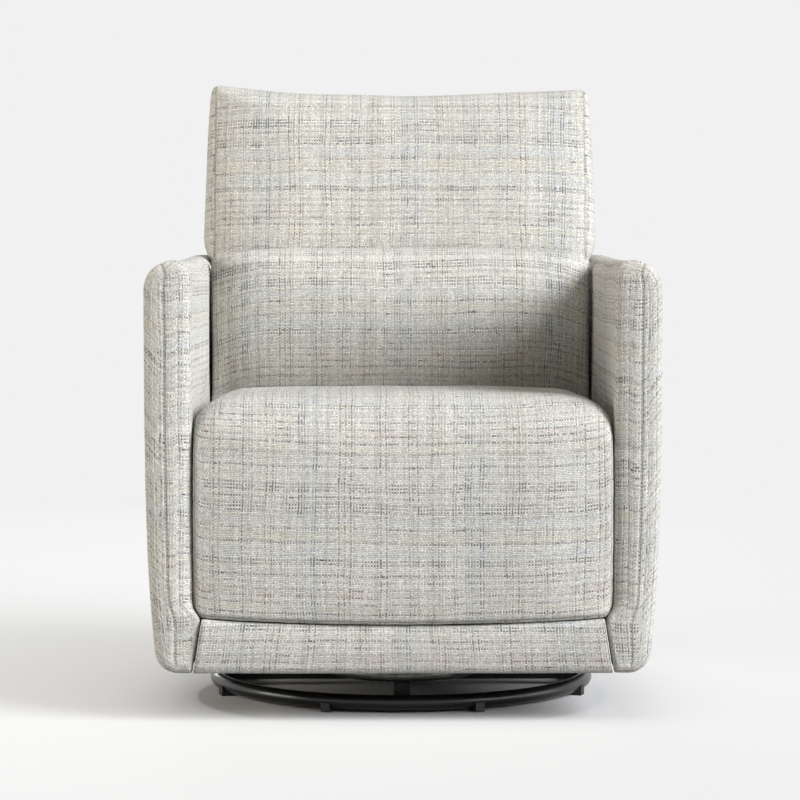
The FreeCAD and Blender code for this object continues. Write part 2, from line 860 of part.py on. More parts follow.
def right_upright():
    """Folded side plate: a foot on the carriage, and two posts for the upper pivots."""
    web_top = carriage_top + upright_web
    eye = upright_post / 2
    posts = [rod_x(upright_inner, upright_outer, eye, y, upper_pivot_height)
             for y in (-pivot_spread, pivot_spread)]
    sides = [box(upright_inner, upright_outer, y - eye, y + eye, carriage_top, upper_pivot_height)
             for y in (-pivot_spread, pivot_spread)]
    web = box(upright_inner, upright_outer, -upright_half, upright_half, carriage_top, web_top)
    plate = web.multiFuse(posts + sides).removeSplitter()
    inside = [edge for edge in plate.Edges
              if abs(edge.Length - upright_plate) < near
              and abs(edge.Vertexes[0].Point.z - web_top) < near
              and abs(abs(edge.Vertexes[0].Point.y) - pivot_spread + eye) < near]
    plate = plate.makeFillet(upright_corner, inside)
    half = rivet_span / 2 + rivet_head
    foot = box(upright_inner - upright_foot, upright_inner, -half, half,
               carriage_top, carriage_top + upright_plate)
    plate = plate.fuse(foot)
    inner = upright_inner - cut_over
    outer = upright_outer + cut_over
    plate = plate.cut(rod_x(inner, outer, upright_window, 0, carriage_top + upright_window_height))
    for y in (-pivot_spread, pivot_spread):
        plate = plate.cut(rod_x(inner, outer, pin_radius + fit_gap, y, upper_pivot_height))
    for x, y in rivet_places():
        plate = plate.cut(rod_z(carriage_top - cut_over, carriage_top + upright_plate + cut_over,
                                rivet_diameter / 2 + fit_gap, x, y))
    return plate


def carriage_rivets():
    result = []
    for x, y in rivet_places():
        top = carriage_top + upright_plate
        shank = rod_z(carriage_z - rivet_head_height / 2, top + rivet_head_height / 2,
                      rivet_diameter / 2, x, y)
        head = Part.makeCone(rivet_head / 2, rivet_head_top / 2, rivet_head_height, vec(x, y, top))
        tail = Part.makeCone(rivet_head_top / 2, rivet_head / 2, rivet_head_height,
                             vec(x, y, carriage_z - rivet_head_height))
        result.append(shank.multiFuse([head, tail]))
    return both_sides(result)


def upper_pin(y):
    """Pin riveted in an upright: head inside, collar, link seat and retaining ring."""
    z = upper_pivot_height
    seat_start = link_inner - bearing_overhang - run_gap
    seat_end = link_outer + bearing_overhang + run_gap
    ring_end = seat_end + pin_ring_thickness
    shaft = rod_x(upright_inner - pin_head_height, ring_end + pin_end, pin_radius, y, z)
    head = rod_x(upright_inner - pin_head_height, upright_inner, pin_head_radius, y, z)
    collar = rod_x(upright_outer, seat_start, pin_collar_radius, y, z)
    ring = rod_x(seat_end, ring_end, pin_collar_radius, y, z)
    return shaft.multiFuse([head, collar, ring])


def lower_pin(y):
    """Pin riveted in a seat rail, reaching inwards through the link."""
    z = lower_pivot_height
    seat_start = link_inner - bearing_overhang - run_gap
    seat_end = link_outer + bearing_overhang + run_gap
    ring_start = seat_start - pin_ring_thickness
    shaft = rod_x(ring_start - pin_end, rail_outer + pin_head_height, pin_radius, y, z)
    head = rod_x(rail_outer, rail_outer + pin_head_height, pin_head_radius, y, z)
    collar = rod_x(seat_end, rail_inner, pin_collar_radius, y, z)
    ring = rod_x(ring_start, seat_start, pin_collar_radius, y, z)
    return shaft.multiFuse([head, collar, ring])


def glide_link(y):
    """Waisted flat link with an eye at each end."""
    eyes = [rod_x(link_inner, link_outer, link_eye_radius, y, z)
            for z in (lower_pivot_height, upper_pivot_height)]
    bar = box(link_inner, link_outer, y - link_waist / 2, y + link_waist / 2,
              lower_pivot_height, upper_pivot_height)
    link = bar.multiFuse(eyes).removeSplitter()
    for z in (lower_pivot_height, upper_pivot_height):
        link = link.cut(rod_x(link_inner - cut_over, link_outer + cut_over, bearing_radius + fit_gap, y, z))
    return link


def link_bearings(y):
    result = []
    for z in (lower_pivot_height, upper_pivot_height):
        start = link_inner - bearing_overhang
        end = link_outer + bearing_overhang
        ring = rod_x(start, end, bearing_radius, y, z)
        result.append(ring.cut(rod_x(start - cut_over, end + cut_over, pin_radius + fit_gap, y, z)))
    return result


# Seat rails
def right_seat_rail():
    half = rail_length / 2
    low = lower_pivot_height - rail_edge
    web = box(rail_inner, rail_outer, -half, half, low, rail_top)
    ends = [edge for edge in web.Edges
            if abs(edge.Length - rail_plate) < near and edge.Vertexes[0].Point.z < low + near]
    web = web.makeFillet(rail_edge, ends)
    flange = box(rail_outer - cut_over, rail_inner + rail_flange, -half, half,
                 rail_top - rail_plate, rail_top)
    rail = web.fuse(flange).removeSplitter()
    for y in (-pivot_spread, pivot_spread):
        rail = rail.cut(rod_x(rail_inner - cut_over, rail_outer + cut_over, pin_radius + fit_gap, y,
                              lower_pivot_height))
    for y in bolt_row:
        rail = rail.cut(rod_z(rail_top - rail_plate - cut_over, rail_top + cut_over,
                              bolt_diameter / 2 + fit_gap, bolt_x, y))
    return rail


def rail_bolts():
    result = []
    for y in bolt_row:
        low = rail_top - rail_plate
        head = hex_z(low - bolt_head_height, low, bolt_head_flats, bolt_x, y)
        shank = rod_z(low - cut_over, frame_bottom + bolt_grip, bolt_diameter / 2, bolt_x, y)
        result.append(head.fuse(shank))
    return both_sides(result)


def rail_ties():
    return [rod_x(-rail_inner, rail_inner, tie_diameter / 2, y, lower_pivot_height) for y in (-tie_y, tie_y)]


def glide_bumpers():
    """Rubber stops on the ties: they meet the uprights at each end of the glide."""
    x = (upright_inner + upright_outer) / 2
    start = upright_half + glide_travel + stop_gap
    bumper = rod_y(start, tie_y, bumper_diameter / 2, x, lower_pivot_height)
    bumper = bumper.cut(rod_x(x - bumper_diameter, x + bumper_diameter, tie_diameter / 2 + fit_gap, tie_y,
                              lower_pivot_height))
    front = bumper.mirror(vec(0, 0, 0), vec(0, 1, 0))
    return both_sides([bumper, front])


def left_right(name, shape):
    return {"right_" + name: shape, "left_" + name: mirrored(shape)}


def build():
    nodes = {
        "base_ring": base_ring(),
        "base_spokes": group(spokes()),
        "floor_glides": group(floor_glides()),
        "hub_disc": hub_disc(),
        "lower_race": race(lower_race_z),
        "pivot_bolt": pivot_bolt(),
        "thrust_washer": thrust_washer(),
        "lock_nut": lock_nut(),
        "ball_cage": ball_cage(),
        "bearing_balls": group(bearing_balls()),
        "upper_race": race(upper_race_z),
        "pivot_bush": pivot_bush(),
        "carriage_plate": carriage_plate_body(),
        "carriage_rivets": group(carriage_rivets()),
        "upper_pivot_pins": group(both_sides([upper_pin(-pivot_spread), upper_pin(pivot_spread)])),
        "lower_pivot_pins": group(both_sides([lower_pin(-pivot_spread), lower_pin(pivot_spread)])),
        "rail_ties": group(rail_ties()),
        "rail_bolts": group(rail_bolts()),
        "glide_bumpers": group(glide_bumpers()),
        "front_board": front_board(),
        "rear_board": rear_board(),
        "spring_rail": spring_rail(),
        "corner_blocks": group(both_sides([corner_block()])),
        "runners": group(both_sides([runner()])),
        "rear_panel": rear_panel(),
        "shell_spacers": group(both_sides([shell_spacer()])),
        "post_spacers": group(both_sides([post_spacer()])),
        "back_rails": group(back_rails()),
        "back_webbing": group(back_webbing()),
        "frame_bolts": group(frame_bolts()),
        "seat_springs": group([seat_spring(x) for x in spring_places()]),
        "spring_clips": group([spring_clip(x, y) for x in spring_places() for y in spring_ends()]),
        "dust_cover": dust_cover(),
        "rear_shell": rear_shell(),
        "front_rail_pad": front_rail_pad(),
        "seat_cushion": seat_cushion(),
        "lumbar_cushion": lumbar_cushion(),
        "back_cushion": back_cushion(),
        "outside_back": outside_back(),
    }
    nodes.update(left_right("upright", right_upright()))
    nodes.update(left_right("seat_rail", right_seat_rail()))
    nodes.update(left_right("side_board", side_board()))
    nodes.update(left_right("arm_panel", arm_panel()))
    nodes.update(left_right("back_post", back_post()))
    nodes.update(left_right("arm", right_arm()))
    for end, y in (("front", -pivot_spread), ("rear", pivot_spread)):
        link = glide_link(y)
        bearings = group(link_bearings(y))
        nodes[end + "_right_link"] = link
        nodes[end + "_left_link"] = mirrored(link)
        nodes[end + "_right_bearings"] = bearings
        nodes[end + "_left_bearings"] = mirrored(bearings)
    return nodes


os.makedirs("parts", exist_ok=True)
for name, shape in build().items():
    shape.exportStep("parts/" + name + ".step")
    size = shape.BoundBox
    print(name, len(shape.Solids), shape.isValid(), round(shape.Volume),
          round(size.XMin, 1), round(size.XMax, 1), round(size.YMin, 1), round(size.YMax, 1),
          round(size.ZMin, 1), round(size.ZMax, 1))
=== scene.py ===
import json
import math
import bmesh
import bpy
import numpy as np
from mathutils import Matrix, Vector, kdtree, noise


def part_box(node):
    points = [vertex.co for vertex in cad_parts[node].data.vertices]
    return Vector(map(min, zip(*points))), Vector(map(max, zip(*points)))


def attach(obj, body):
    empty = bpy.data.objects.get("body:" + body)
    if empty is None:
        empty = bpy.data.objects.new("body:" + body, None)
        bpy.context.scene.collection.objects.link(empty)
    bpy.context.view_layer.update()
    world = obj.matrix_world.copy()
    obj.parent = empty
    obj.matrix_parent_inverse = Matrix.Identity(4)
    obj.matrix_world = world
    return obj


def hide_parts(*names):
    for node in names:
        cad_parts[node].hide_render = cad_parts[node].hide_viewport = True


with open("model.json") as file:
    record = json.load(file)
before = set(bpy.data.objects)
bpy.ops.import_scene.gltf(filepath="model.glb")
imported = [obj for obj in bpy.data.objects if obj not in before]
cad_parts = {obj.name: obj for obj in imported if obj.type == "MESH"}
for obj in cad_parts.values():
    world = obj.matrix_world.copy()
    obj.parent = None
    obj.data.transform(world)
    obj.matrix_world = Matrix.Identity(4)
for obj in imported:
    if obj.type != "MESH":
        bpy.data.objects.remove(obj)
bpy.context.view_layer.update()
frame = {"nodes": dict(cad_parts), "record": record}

cadNodes = frame["nodes"]
scene = bpy.context.scene
print("frame loaded,", len(cadNodes), "nodes")

# Places read from the frame, in metres: x to the sitter's left, the chair faces -y
armLow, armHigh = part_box("right_arm")
seatLow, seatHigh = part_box("seat_cushion")
boardLow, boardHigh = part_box("front_board")

shell = {
    "thickness": 0.068,       # slab arms and the low back
    "endGap": 0.0002,         # between an arm and the low back
    "innerTopRadius": 0.025,
    "outerTopRadius": 0.042,
    "footRadius": 0.034,
    "hemRadius": 0.012,
    "drawStart": 0.412,       # height where the outer side starts to draw in
    "drawIn": 0.0150,
    "drawBulge": 0.0034,
    "cornerRadius": 0.088,
}
outerHalf = armHigh.x
innerHalf = outerHalf - shell["thickness"]
armFront = armLow.y
armTop = armHigh.z
skirt = armLow.z
cornerY = armHigh.y
cornerX = outerHalf - shell["cornerRadius"]
seatBottom = seatLow.z
boardFront = boardLow.y
backRake = math.radians(9)
rakeFoot = (0.118, 0.480)     # y and z of the line that the back leans about


def tint(red, green, blue):
    # colours are written as they look on a screen, 0 to 255
    parts = []
    for value in (red, green, blue):
        share = value / 255
        parts.append(share / 12.92 if share < 0.04045 else ((share + 0.055) / 1.055) ** 2.4)
    return (*parts, 1.0)


# Camera and studio
camera = {
    "place": (-0.03735, -4.6845, 0.7121),
    "pitch": 0.0573,
    "yaw": 0.0076,
    "focalPixels": 3027.2,
    "framePixels": 800,
    "sensor": 36.0,
}


def makeCamera():
    data = bpy.data.cameras.new("camera")
    data.sensor_width = camera["sensor"]
    data.lens = camera["sensor"] * camera["focalPixels"] / camera["framePixels"]
    eye = bpy.data.objects.new("camera", data)
    eye.location = camera["place"]
    eye.rotation_euler = (math.pi / 2 - camera["pitch"], 0, -camera["yaw"])
    scene.collection.objects.link(eye)
    scene.camera = eye


makeCamera()

studio = {
    "paper": tint(228, 228, 228),
    "backdrop": tint(241, 241, 241),
    "paperBounce": tint(160, 160, 160),     # less light comes back from the floor than it shows
    # painted glow: near the chair the floor shows its lit paper, further out it glows with the backdrop
    # colour for camera and mirror rays, which also lightens the chair's shadow there
    "fade": (0.31, 3.20, 0.30),             # from the chair outwards the floor pales into the backdrop
    "fadeCentre": (0.0, -0.10, 0.0),
    "ambient": 0.07,
    "ambientTint": (1.0, 0.92, 0.78, 1.0),  # warm in the shade, and a cooler key
    "sun": {"from": (0.80, -0.46, 0.50), "strength": 4.7, "angle": 0.60,
            "tint": (0.985, 1.0, 1.03)},
    "lamps": [
        # name, place, width, height, watts, aim, tint
        ("overhead", (0.0, -2.0, 3.5), 2.4, 2.4, 34, (0.0, 0.1, 0.7), (1.0, 0.97, 0.91)),
        ("fill", (-3.6, -0.8, 1.1), 1.6, 1.2, 74, (-0.2, 0.1, 0.7), (1.0, 0.95, 0.86)),
        ("edge", (3.3, -0.1, 0.6), 1.4, 1.2, 12, (0.37, -0.1, 0.4), (0.97, 1.0, 1.05)),
        ("rear", (-0.7, 3.7, 1.3), 2.2, 1.4, 60, (0.0, 0.3, 0.5), (1.0, 0.98, 0.95)),
    ],
    "floorHalf": 14.0,
}


# Node helpers: an input is a socket to link or a plain value
def setInputs(tree, made, inputs):
    pairs = inputs.items() if isinstance(inputs, dict) else enumerate(inputs)
    for slot, value in pairs:
        if isinstance(value, bpy.types.NodeSocket):
            tree.links.new(value, made.inputs[slot])
        else:
            made.inputs[slot].default_value = value


def addNode(tree, kind, inputs=(), **settings):
    made = tree.nodes.new(kind)
    for key, value in settings.items():
        setattr(made, key, value)
    setInputs(tree, made, inputs)
    return made


def calc(tree, operation, *values):
    return addNode(tree, "ShaderNodeMath", values, operation=operation).outputs[0]


def times(tree, first, *others):
    for value in others:
        first = calc(tree, "MULTIPLY", first, value)
    return first


def mixColour(tree, factor, first, second, blend="MIX"):
    inputs = {0: factor, 6: first, 7: second}
    return addNode(tree, "ShaderNodeMix", inputs, data_type="RGBA", blend_type=blend).outputs[2]


def mixValue(tree, factor, first, second):
    return addNode(tree, "ShaderNodeMix", {0: factor, 2: first, 3: second}).outputs[0]


def remap(tree, value, fromLow, fromHigh, low, high):
    return addNode(tree, "ShaderNodeMapRange", (value, fromLow, fromHigh, low, high)).outputs[0]


def noiseOf(tree, vector, scale, detail=2.0, roughness=0.5):
    made = addNode(tree, "ShaderNodeTexNoise", {"Vector": vector, "Scale": scale, "Detail": detail,
                                                "Roughness": roughness})
    return made.outputs[0]


def newMaterial(name):
    material = bpy.data.materials.new(name)
    material.use_nodes = True
    tree = material.node_tree
    tree.nodes.clear()
    shader = addNode(tree, "ShaderNodeBsdfPrincipled")
    out = addNode(tree, "ShaderNodeOutputMaterial")
    tree.links.new(shader.outputs[0], out.inputs[0])
    return material, tree, shader


def objectPoint(tree):
    return addNode(tree, "ShaderNodeTexCoord").outputs["Object"]


def bumpFrom(tree, shader, height, strength, distance):
    bump = addNode(tree, "ShaderNodeBump", {"Height": height, "Strength": strength, "Distance": distance})
    tree.links.new(bump.outputs[0], shader.inputs["Normal"])


# Plaid tweed: a plain weave of soft pale yarn, with thinner dark yarns counted in threads
plaid = {
    "warpYarn": 0.00209,
    "weftYarn": 0.00251,
    "warpCount": 114,
    "weftCount": 92,
    "oat": tint(237, 235, 227),
    "tints": [tint(212, 213, 207), tint(238, 236, 229), tint(236, 232, 225), tint(200, 198, 190),
              tint(238, 235, 225), tint(242, 240, 233)],
    "yarns": {
        "charcoal": tint(46, 48, 53),
        "slate": tint(66, 72, 82),
        "mist": tint(217, 224, 227),
        "rose": tint(232, 219, 210),
        "straw": tint(234, 228, 208),
        "umber": tint(98, 86, 76),
        "ash": tint(96, 97, 96),
    },
    # yarn, first thread, how many
    "warp": [("charcoal", 0, 1), ("ash", 6, 1), ("rose", 12, 3), ("umber", 16, 1), ("straw", 18, 2),
             ("umber", 20, 1), ("ash", 30, 1), ("slate", 38, 1), ("mist", 39, 1), ("slate", 40, 1),
             ("mist", 41, 1), ("slate", 42, 1), ("mist", 43, 5), ("charcoal", 48, 1), ("mist", 49, 1),
             ("charcoal", 50, 1), ("mist", 51, 4), ("umber", 66, 1), ("rose", 67, 3), ("ash", 70, 1),
             ("straw", 72, 2), ("umber", 74, 1), ("slate", 94, 1), ("ash", 98, 1)],
    "weft": [("ash", 0, 1), ("umber", 8, 1), ("straw", 10, 3), ("slate", 14, 1), ("umber", 18, 1),
             ("rose", 19, 3), ("ash", 22, 1), ("ash", 26, 1), ("slate", 30, 1), ("slate", 36, 1),
             ("charcoal", 38, 1), ("mist", 40, 5), ("slate", 48, 1), ("straw", 50, 4), ("umber", 56, 1),
             ("mist", 59, 4), ("charcoal", 66, 1), ("slate", 68, 1), ("charcoal", 70, 1), ("slate", 74, 1),
             ("charcoal", 78, 1), ("slate", 80, 1), ("charcoal", 82, 1)],
    "rampStripes": 12,
    "strength": 0.86,         # how much of a dark yarn shows between the soft ones
    "knotShade": 0.24,        # how much one crossing differs from the next
    # painted shade: crossings with the weft on top are coloured darker, as the lower-lying weft would be
    # shaded
    "weftShade": 0.90,        # the weft lies a little lower
    "skip": 0.06,             # share of crossings where the other yarn shows
    "wander": 0.0050,         # how far a yarn strays from a straight line
    "wanderScale": 6.0,
    "curl": 0.0007,           # and how far its fibres curl
    "curlScale": 420.0,
    "warpDome": (0.30, 0.40),  # how flat a crossing is, where the weft and where the warp is on top
    "weftDome": (0.50, 0.70),
    "fuzzScale": 1300.0,
    "fadeScale": 34.0,        # dark yarns come and go along their length
    "seep": (0.05, 0.16),     # how much of a dark warp and weft shows where it runs under
    "fleck": 0.09,
    # painted shade: the colour darkens towards the edges of each crossing, where the yarns dip between one
    # another
    "gapShade": 0.66,
    "bumpHeight": 0.0010,
}


def settRamp(tree, place, stripes):
    ramp = addNode(tree, "ShaderNodeValToRGB", (place,))
    colours = ramp.color_ramp
    colours.interpolation = "CONSTANT"
    colours.elements.remove(colours.elements[1])
    colours.elements[0].position = 0.0
    colours.elements[0].color = (*plaid["oat"][:3], 0.0)
    for yarn, start, end in stripes:
        colours.elements.new(start).color = plaid["yarns"][yarn]
        colours.elements.new(end).color = (*plaid["oat"][:3], 0.0)
    return ramp.outputs


# Colour of a yarn and whether it is a stripe, from its number
def yarnColour(tree, index, count, stripes):
    place = calc(tree, "FRACT", calc(tree, "DIVIDE", calc(tree, "ADD", index, 0.5), count))
    colour, stripe = settRamp(tree, place, [])
    for start in range(0, len(stripes), plaid["rampStripes"]):      # a ramp holds few stops
        some = [(yarn, first / count, (first + wide) / count)
                for yarn, first, wide in stripes[start:start + plaid["rampStripes"]]]
        here, shown = settRamp(tree, place, some)
        colour = mixColour(tree, shown, colour, here)
        stripe = calc(tree, "MAXIMUM", stripe, shown)
    return colour, stripe


def yarnTint(tree, index, seed):
    yarn = calc(tree, "ADD", index, seed)
    own = addNode(tree, "ShaderNodeTexWhiteNoise", {"W": yarn}, noise_dimensions="1D")
    ramp = addNode(tree, "ShaderNodeValToRGB", (own.outputs[0],))
    colours = ramp.color_ramp
    final = len(plaid["tints"]) - 1
    for number in range(1, final):
        colours.elements.new(number / final).color = plaid["tints"][number]
    colours.elements[0].color = plaid["tints"][0]
    colours.elements[-1].color = plaid["tints"][-1]
    return ramp.outputs[0]


# Noise as a move to either side
def sway(tree, vector, scale, detail, most):
    return remap(tree, noiseOf(tree, vector, scale, detail), 0.2, 0.8, -most, most)


def makePlaid():
    material, tree, shader = newMaterial("plaidTweed")
    cloth = addNode(tree, "ShaderNodeUVMap", uv_map="weave").outputs[0]
    flat = addNode(tree, "ShaderNodeSeparateXYZ", (cloth,))
    shifted = addNode(tree, "ShaderNodeVectorMath", (cloth, (3.7, 9.1, 0.0)), operation="ADD").outputs[0]
    across = []
    for axis, field, yarn in ((0, cloth, "warpYarn"), (1, shifted, "weftYarn")):
        stray = sway(tree, field, plaid["wanderScale"], 5.0, plaid["wander"])
        curl = sway(tree, field, plaid["curlScale"], 2.0, plaid["curl"])
        place = calc(tree, "ADD", flat.outputs[axis], calc(tree, "ADD", stray, curl))
        across.append(calc(tree, "DIVIDE", place, plaid[yarn]))
    column, row = [calc(tree, "FLOOR", value) for value in across]
    crossing = addNode(tree, "ShaderNodeCombineXYZ", (column, row, 0.0)).outputs[0]
    chance = addNode(tree, "ShaderNodeTexWhiteNoise", {"Vector": crossing}, noise_dimensions="2D")
    knots = addNode(tree, "ShaderNodeSeparateColor", (chance.outputs[1],)).outputs
    parity = calc(tree, "FLOORED_MODULO", calc(tree, "ADD", column, row), 2.0)
    flip = calc(tree, "LESS_THAN", chance.outputs[0], plaid["skip"])
    warpOver = calc(tree, "ABSOLUTE", calc(tree, "SUBTRACT", parity, flip))
    # a dome on each crossing, longer along the yarn on top
    domeU, domeV = [calc(tree, "SINE", times(tree, calc(tree, "FRACT", value), math.pi)) for value in across]
    longU = calc(tree, "POWER", domeU, remap(tree, warpOver, 0, 1, *plaid["warpDome"]))
    longV = calc(tree, "POWER", domeV, remap(tree, warpOver, 0, 1, *plaid["weftDome"]))
    dome = times(tree, longU, longV)
    fuzz = noiseOf(tree, cloth, plaid["fuzzScale"], 2.0)
    warp, warpStripe = yarnColour(tree, column, plaid["warpCount"], plaid["warp"])
    weft, weftStripe = yarnColour(tree, row, plaid["weftCount"], plaid["weft"])
    pale = mixColour(tree, warpOver, yarnTint(tree, row, 31.5), yarnTint(tree, column, 7.5))
    ragged = calc(tree, "ADD", dome, remap(tree, fuzz, 0.3, 0.7, -0.2, 0.2))
    fade = remap(tree, noiseOf(tree, cloth, plaid["fadeScale"], 3.0), 0.36, 0.62, 0.2, 1.0)
    stripe = mixValue(tree, warpOver, weftStripe, warpStripe)
    shown = times(tree, stripe, fade, remap(tree, ragged, 0.20, 0.65, 0.0, plaid["strength"]))
    yarn = mixColour(tree, shown, pale, mixColour(tree, warpOver, weft, warp))
    under = mixValue(tree, warpOver, warpStripe, weftStripe)
    through = times(tree, under, fade, remap(tree, warpOver, 0, 1, *plaid["seep"]), domeV)
    yarn = mixColour(tree, through, yarn, mixColour(tree, warpOver, warp, weft))
    # painted shade: the cloth is coloured darker along its seams, where the groove would be shaded
    seam = addNode(tree, "ShaderNodeAttribute", attribute_name="seam").outputs["Fac"]
    # the yarn's colour is multiplied by random tone of crossings, flecks and fuzz, and by painted shade
    # between the yarns, on the weft and along seams
    light = times(tree, remap(tree, knots[1], 0, 1, 1 - plaid["knotShade"], 1.05),
                  remap(tree, dome, 0.1, 0.9, plaid["gapShade"], 1.0),
                  remap(tree, warpOver, 0, 1, plaid["weftShade"], 1.0),
                  remap(tree, knots[2], 0.84, 0.9, 1.0, 1 + plaid["fleck"]),
                  remap(tree, noiseOf(tree, cloth, 70.0, 3.0), 0.25, 0.75, 0.95, 1.03),
                  remap(tree, fuzz, 0.3, 0.7, 0.92, 1.04),
                  remap(tree, seam, 0, 1, 1.0, 0.6))
    shade = addNode(tree, "ShaderNodeCombineColor", (light, light, light)).outputs[0]
    setInputs(tree, shader, {"Base Color": mixColour(tree, 1.0, yarn, shade, "MULTIPLY"), "Roughness": 0.95,
                             "Specular IOR Level": 0.15, "Sheen Weight": 0.10, "Sheen Roughness": 0.55})
    height = times(tree, dome, remap(tree, warpOver, 0, 1, 0.8, 1.0))
    bumpFrom(tree, shader, calc(tree, "ADD", height, times(tree, fuzz, 0.4)), 0.6, plaid["bumpHeight"])
    return material


def makeThread():
    material, tree, shader = newMaterial("sewingThread")
    twisted = {"Vector": objectPoint(tree), "Scale": 900.0, "Distortion": 2.0}
    ply = addNode(tree, "ShaderNodeTexWave", twisted).outputs[1]
    colour = mixColour(tree, ply, tint(204, 198, 186), tint(232, 227, 217))
    setInputs(tree, shader, {"Base Color": colour, "Roughness": 0.75})
    bumpFrom(tree, shader, ply, 0.4, 0.0002)
    return material


def makeBlackSteel():
    material, tree, shader = newMaterial("glossBlackSteel")
    point = objectPoint(tree)
    dust = remap(tree, noiseOf(tree, point, 60.0, 5.0), 0.5, 0.8, 0.0, 0.6)
    colour = mixColour(tree, dust, tint(17, 17, 18), tint(40, 39, 38))
    rough = remap(tree, noiseOf(tree, point, 14.0, 4.0), 0.3, 0.7, 0.26, 0.40)
    setInputs(tree, shader, {"Base Color": colour, "Roughness": rough, "Specular IOR Level": 0.35,
                             "Coat Weight": 0.15, "Coat Roughness": 0.12})
    bumpFrom(tree, shader, noiseOf(tree, point, 520.0, 2.0), 0.10, 0.0004)
    return material


def makeZinc():
    material, tree, shader = newMaterial("zincSteel")
    point = objectPoint(tree)
    bloom = remap(tree, noiseOf(tree, point, 90.0, 4.0), 0.35, 0.65, 0, 1)
    colour = mixColour(tree, bloom, tint(196, 197, 194), tint(168, 166, 152))
    rough = remap(tree, noiseOf(tree, point, 300.0, 3.0), 0.3, 0.7, 0.28, 0.5)
    setInputs(tree, shader, {"Base Color": colour, "Metallic": 1.0, "Roughness": rough})
    bumpFrom(tree, shader, noiseOf(tree, point, 1400.0, 2.0), 0.15, 0.0002)
    return material


def makeBronze():
    material, tree, shader = newMaterial("oiledBronze")
    oil = noiseOf(tree, objectPoint(tree), 120.0, 4.0)
    colour = mixColour(tree, remap(tree, oil, 0.35, 0.65, 0, 1), tint(190, 152, 96), tint(122, 92, 58))
    rough = remap(tree, oil, 0.3, 0.7, 0.22, 0.45)
    setInputs(tree, shader, {"Base Color": colour, "Metallic": 1.0, "Roughness": rough})
    return material


def makeHardwood():
    material, tree, shader = newMaterial("sawnHardwood")
    point = objectPoint(tree)
    drawn = addNode(tree, "ShaderNodeMapping", {0: point, 3: (1.0, 1.0, 9.0)}).outputs[0]
    fine = addNode(tree, "ShaderNodeMapping", {0: point, 3: (60.0, 60.0, 900.0)}).outputs[0]
    stray = noiseOf(tree, drawn, 6.0, 4.0)
    pores = noiseOf(tree, fine, 1.0, 3.0)
    rings = {"Vector": drawn, "Scale": 9.0, "Distortion": 7.0, "Detail": 3.0, "Detail Scale": 1.6}
    grain = addNode(tree, "ShaderNodeTexWave", rings, bands_direction="Z").outputs[1]
    colour = mixColour(tree, grain, tint(206, 174, 132), tint(176, 138, 96))
    colour = mixColour(tree, remap(tree, stray, 0.3, 0.7, 0.0, 0.4), colour, tint(196, 158, 118))
    colour = mixColour(tree, remap(tree, pores, 0.55, 0.7, 0.0, 0.5), colour, tint(126, 92, 62))
    setInputs(tree, shader, {"Base Color": colour, "Roughness": remap(tree, grain, 0, 1, 0.55, 0.72)})
    bumpFrom(tree, shader, pores, 0.3, 0.0004)
    return material


def makeBlackCloth():
    material, tree, shader = newMaterial("blackCloth")
    point = objectPoint(tree)
    fibres = noiseOf(tree, point, 900.0, 3.0)
    spots = addNode(tree, "ShaderNodeTexVoronoi", {"Vector": point, "Scale": 420.0}).outputs[0]
    colour = mixColour(tree, fibres, tint(18, 18, 19), tint(46, 45, 46))
    colour = mixColour(tree, remap(tree, spots, 0.0, 0.4, 0.7, 0.0), colour, tint(12, 12, 12))
    setInputs(tree, shader, {"Base Color": colour, "Roughness": 0.92})
    bumpFrom(tree, shader, spots, 0.5, 0.0004)
    return material


# Moulded black parts with paler spots
def makeMoulded(name, spotScale, spots, colours, rough, grainScale, grainDepth):
    material, tree, shader = newMaterial(name)
    point = objectPoint(tree)
    bloom = noiseOf(tree, point, spotScale, 4.0)
    colour = mixColour(tree, remap(tree, bloom, *spots, 0, 1), *colours)
    setInputs(tree, shader, {"Base Color": colour, "Roughness": remap(tree, bloom, 0.3, 0.7, *rough)})
    bumpFrom(tree, shader, noiseOf(tree, point, grainScale, 2.0), 0.2, grainDepth)
    return material


plaidTweed = makePlaid()
sewingThread = makeThread()
finishes = {
    "gloss_black_steel": makeBlackSteel(),
    "zinc_steel": makeZinc(),
    "bronze": makeBronze(),
    "hardwood": makeHardwood(),
    "plaid_fabric": plaidTweed,
    "black_cloth": makeBlackCloth(),
    "rubber": makeMoulded("stopRubber", 160.0, (0.4, 0.7), (tint(30, 30, 31), tint(58, 57, 56)),
                          (0.7, 0.9), 1100.0, 0.0003),
    "glide_plastic": makeMoulded("glidePlastic", 240.0, (0.55, 0.75), (tint(22, 22, 23), tint(60, 60, 60)),
                                 (0.38, 0.6), 1600.0, 0.0002),
}


def finishNodes():
    for part in frame["record"]["subparts"]:
        data = cadNodes[part["node"]].data
        data.materials.clear()
        data.materials.append(finishes[part["material_slot"]])


finishNodes()
print("materials made,", len(bpy.data.materials), "in all")


arcSteps = 12                 # points along a rounded corner, and along the side after it
sideSteps = 16


def lengthAlong(run):
    return np.concatenate([[0], np.cumsum(np.linalg.norm(np.diff(run, axis=0), axis=1))])


def pointsAt(run, length, wanted):
    return np.stack([np.interp(wanted, length, run[:, axis]) for axis in range(run.shape[1])], 1)


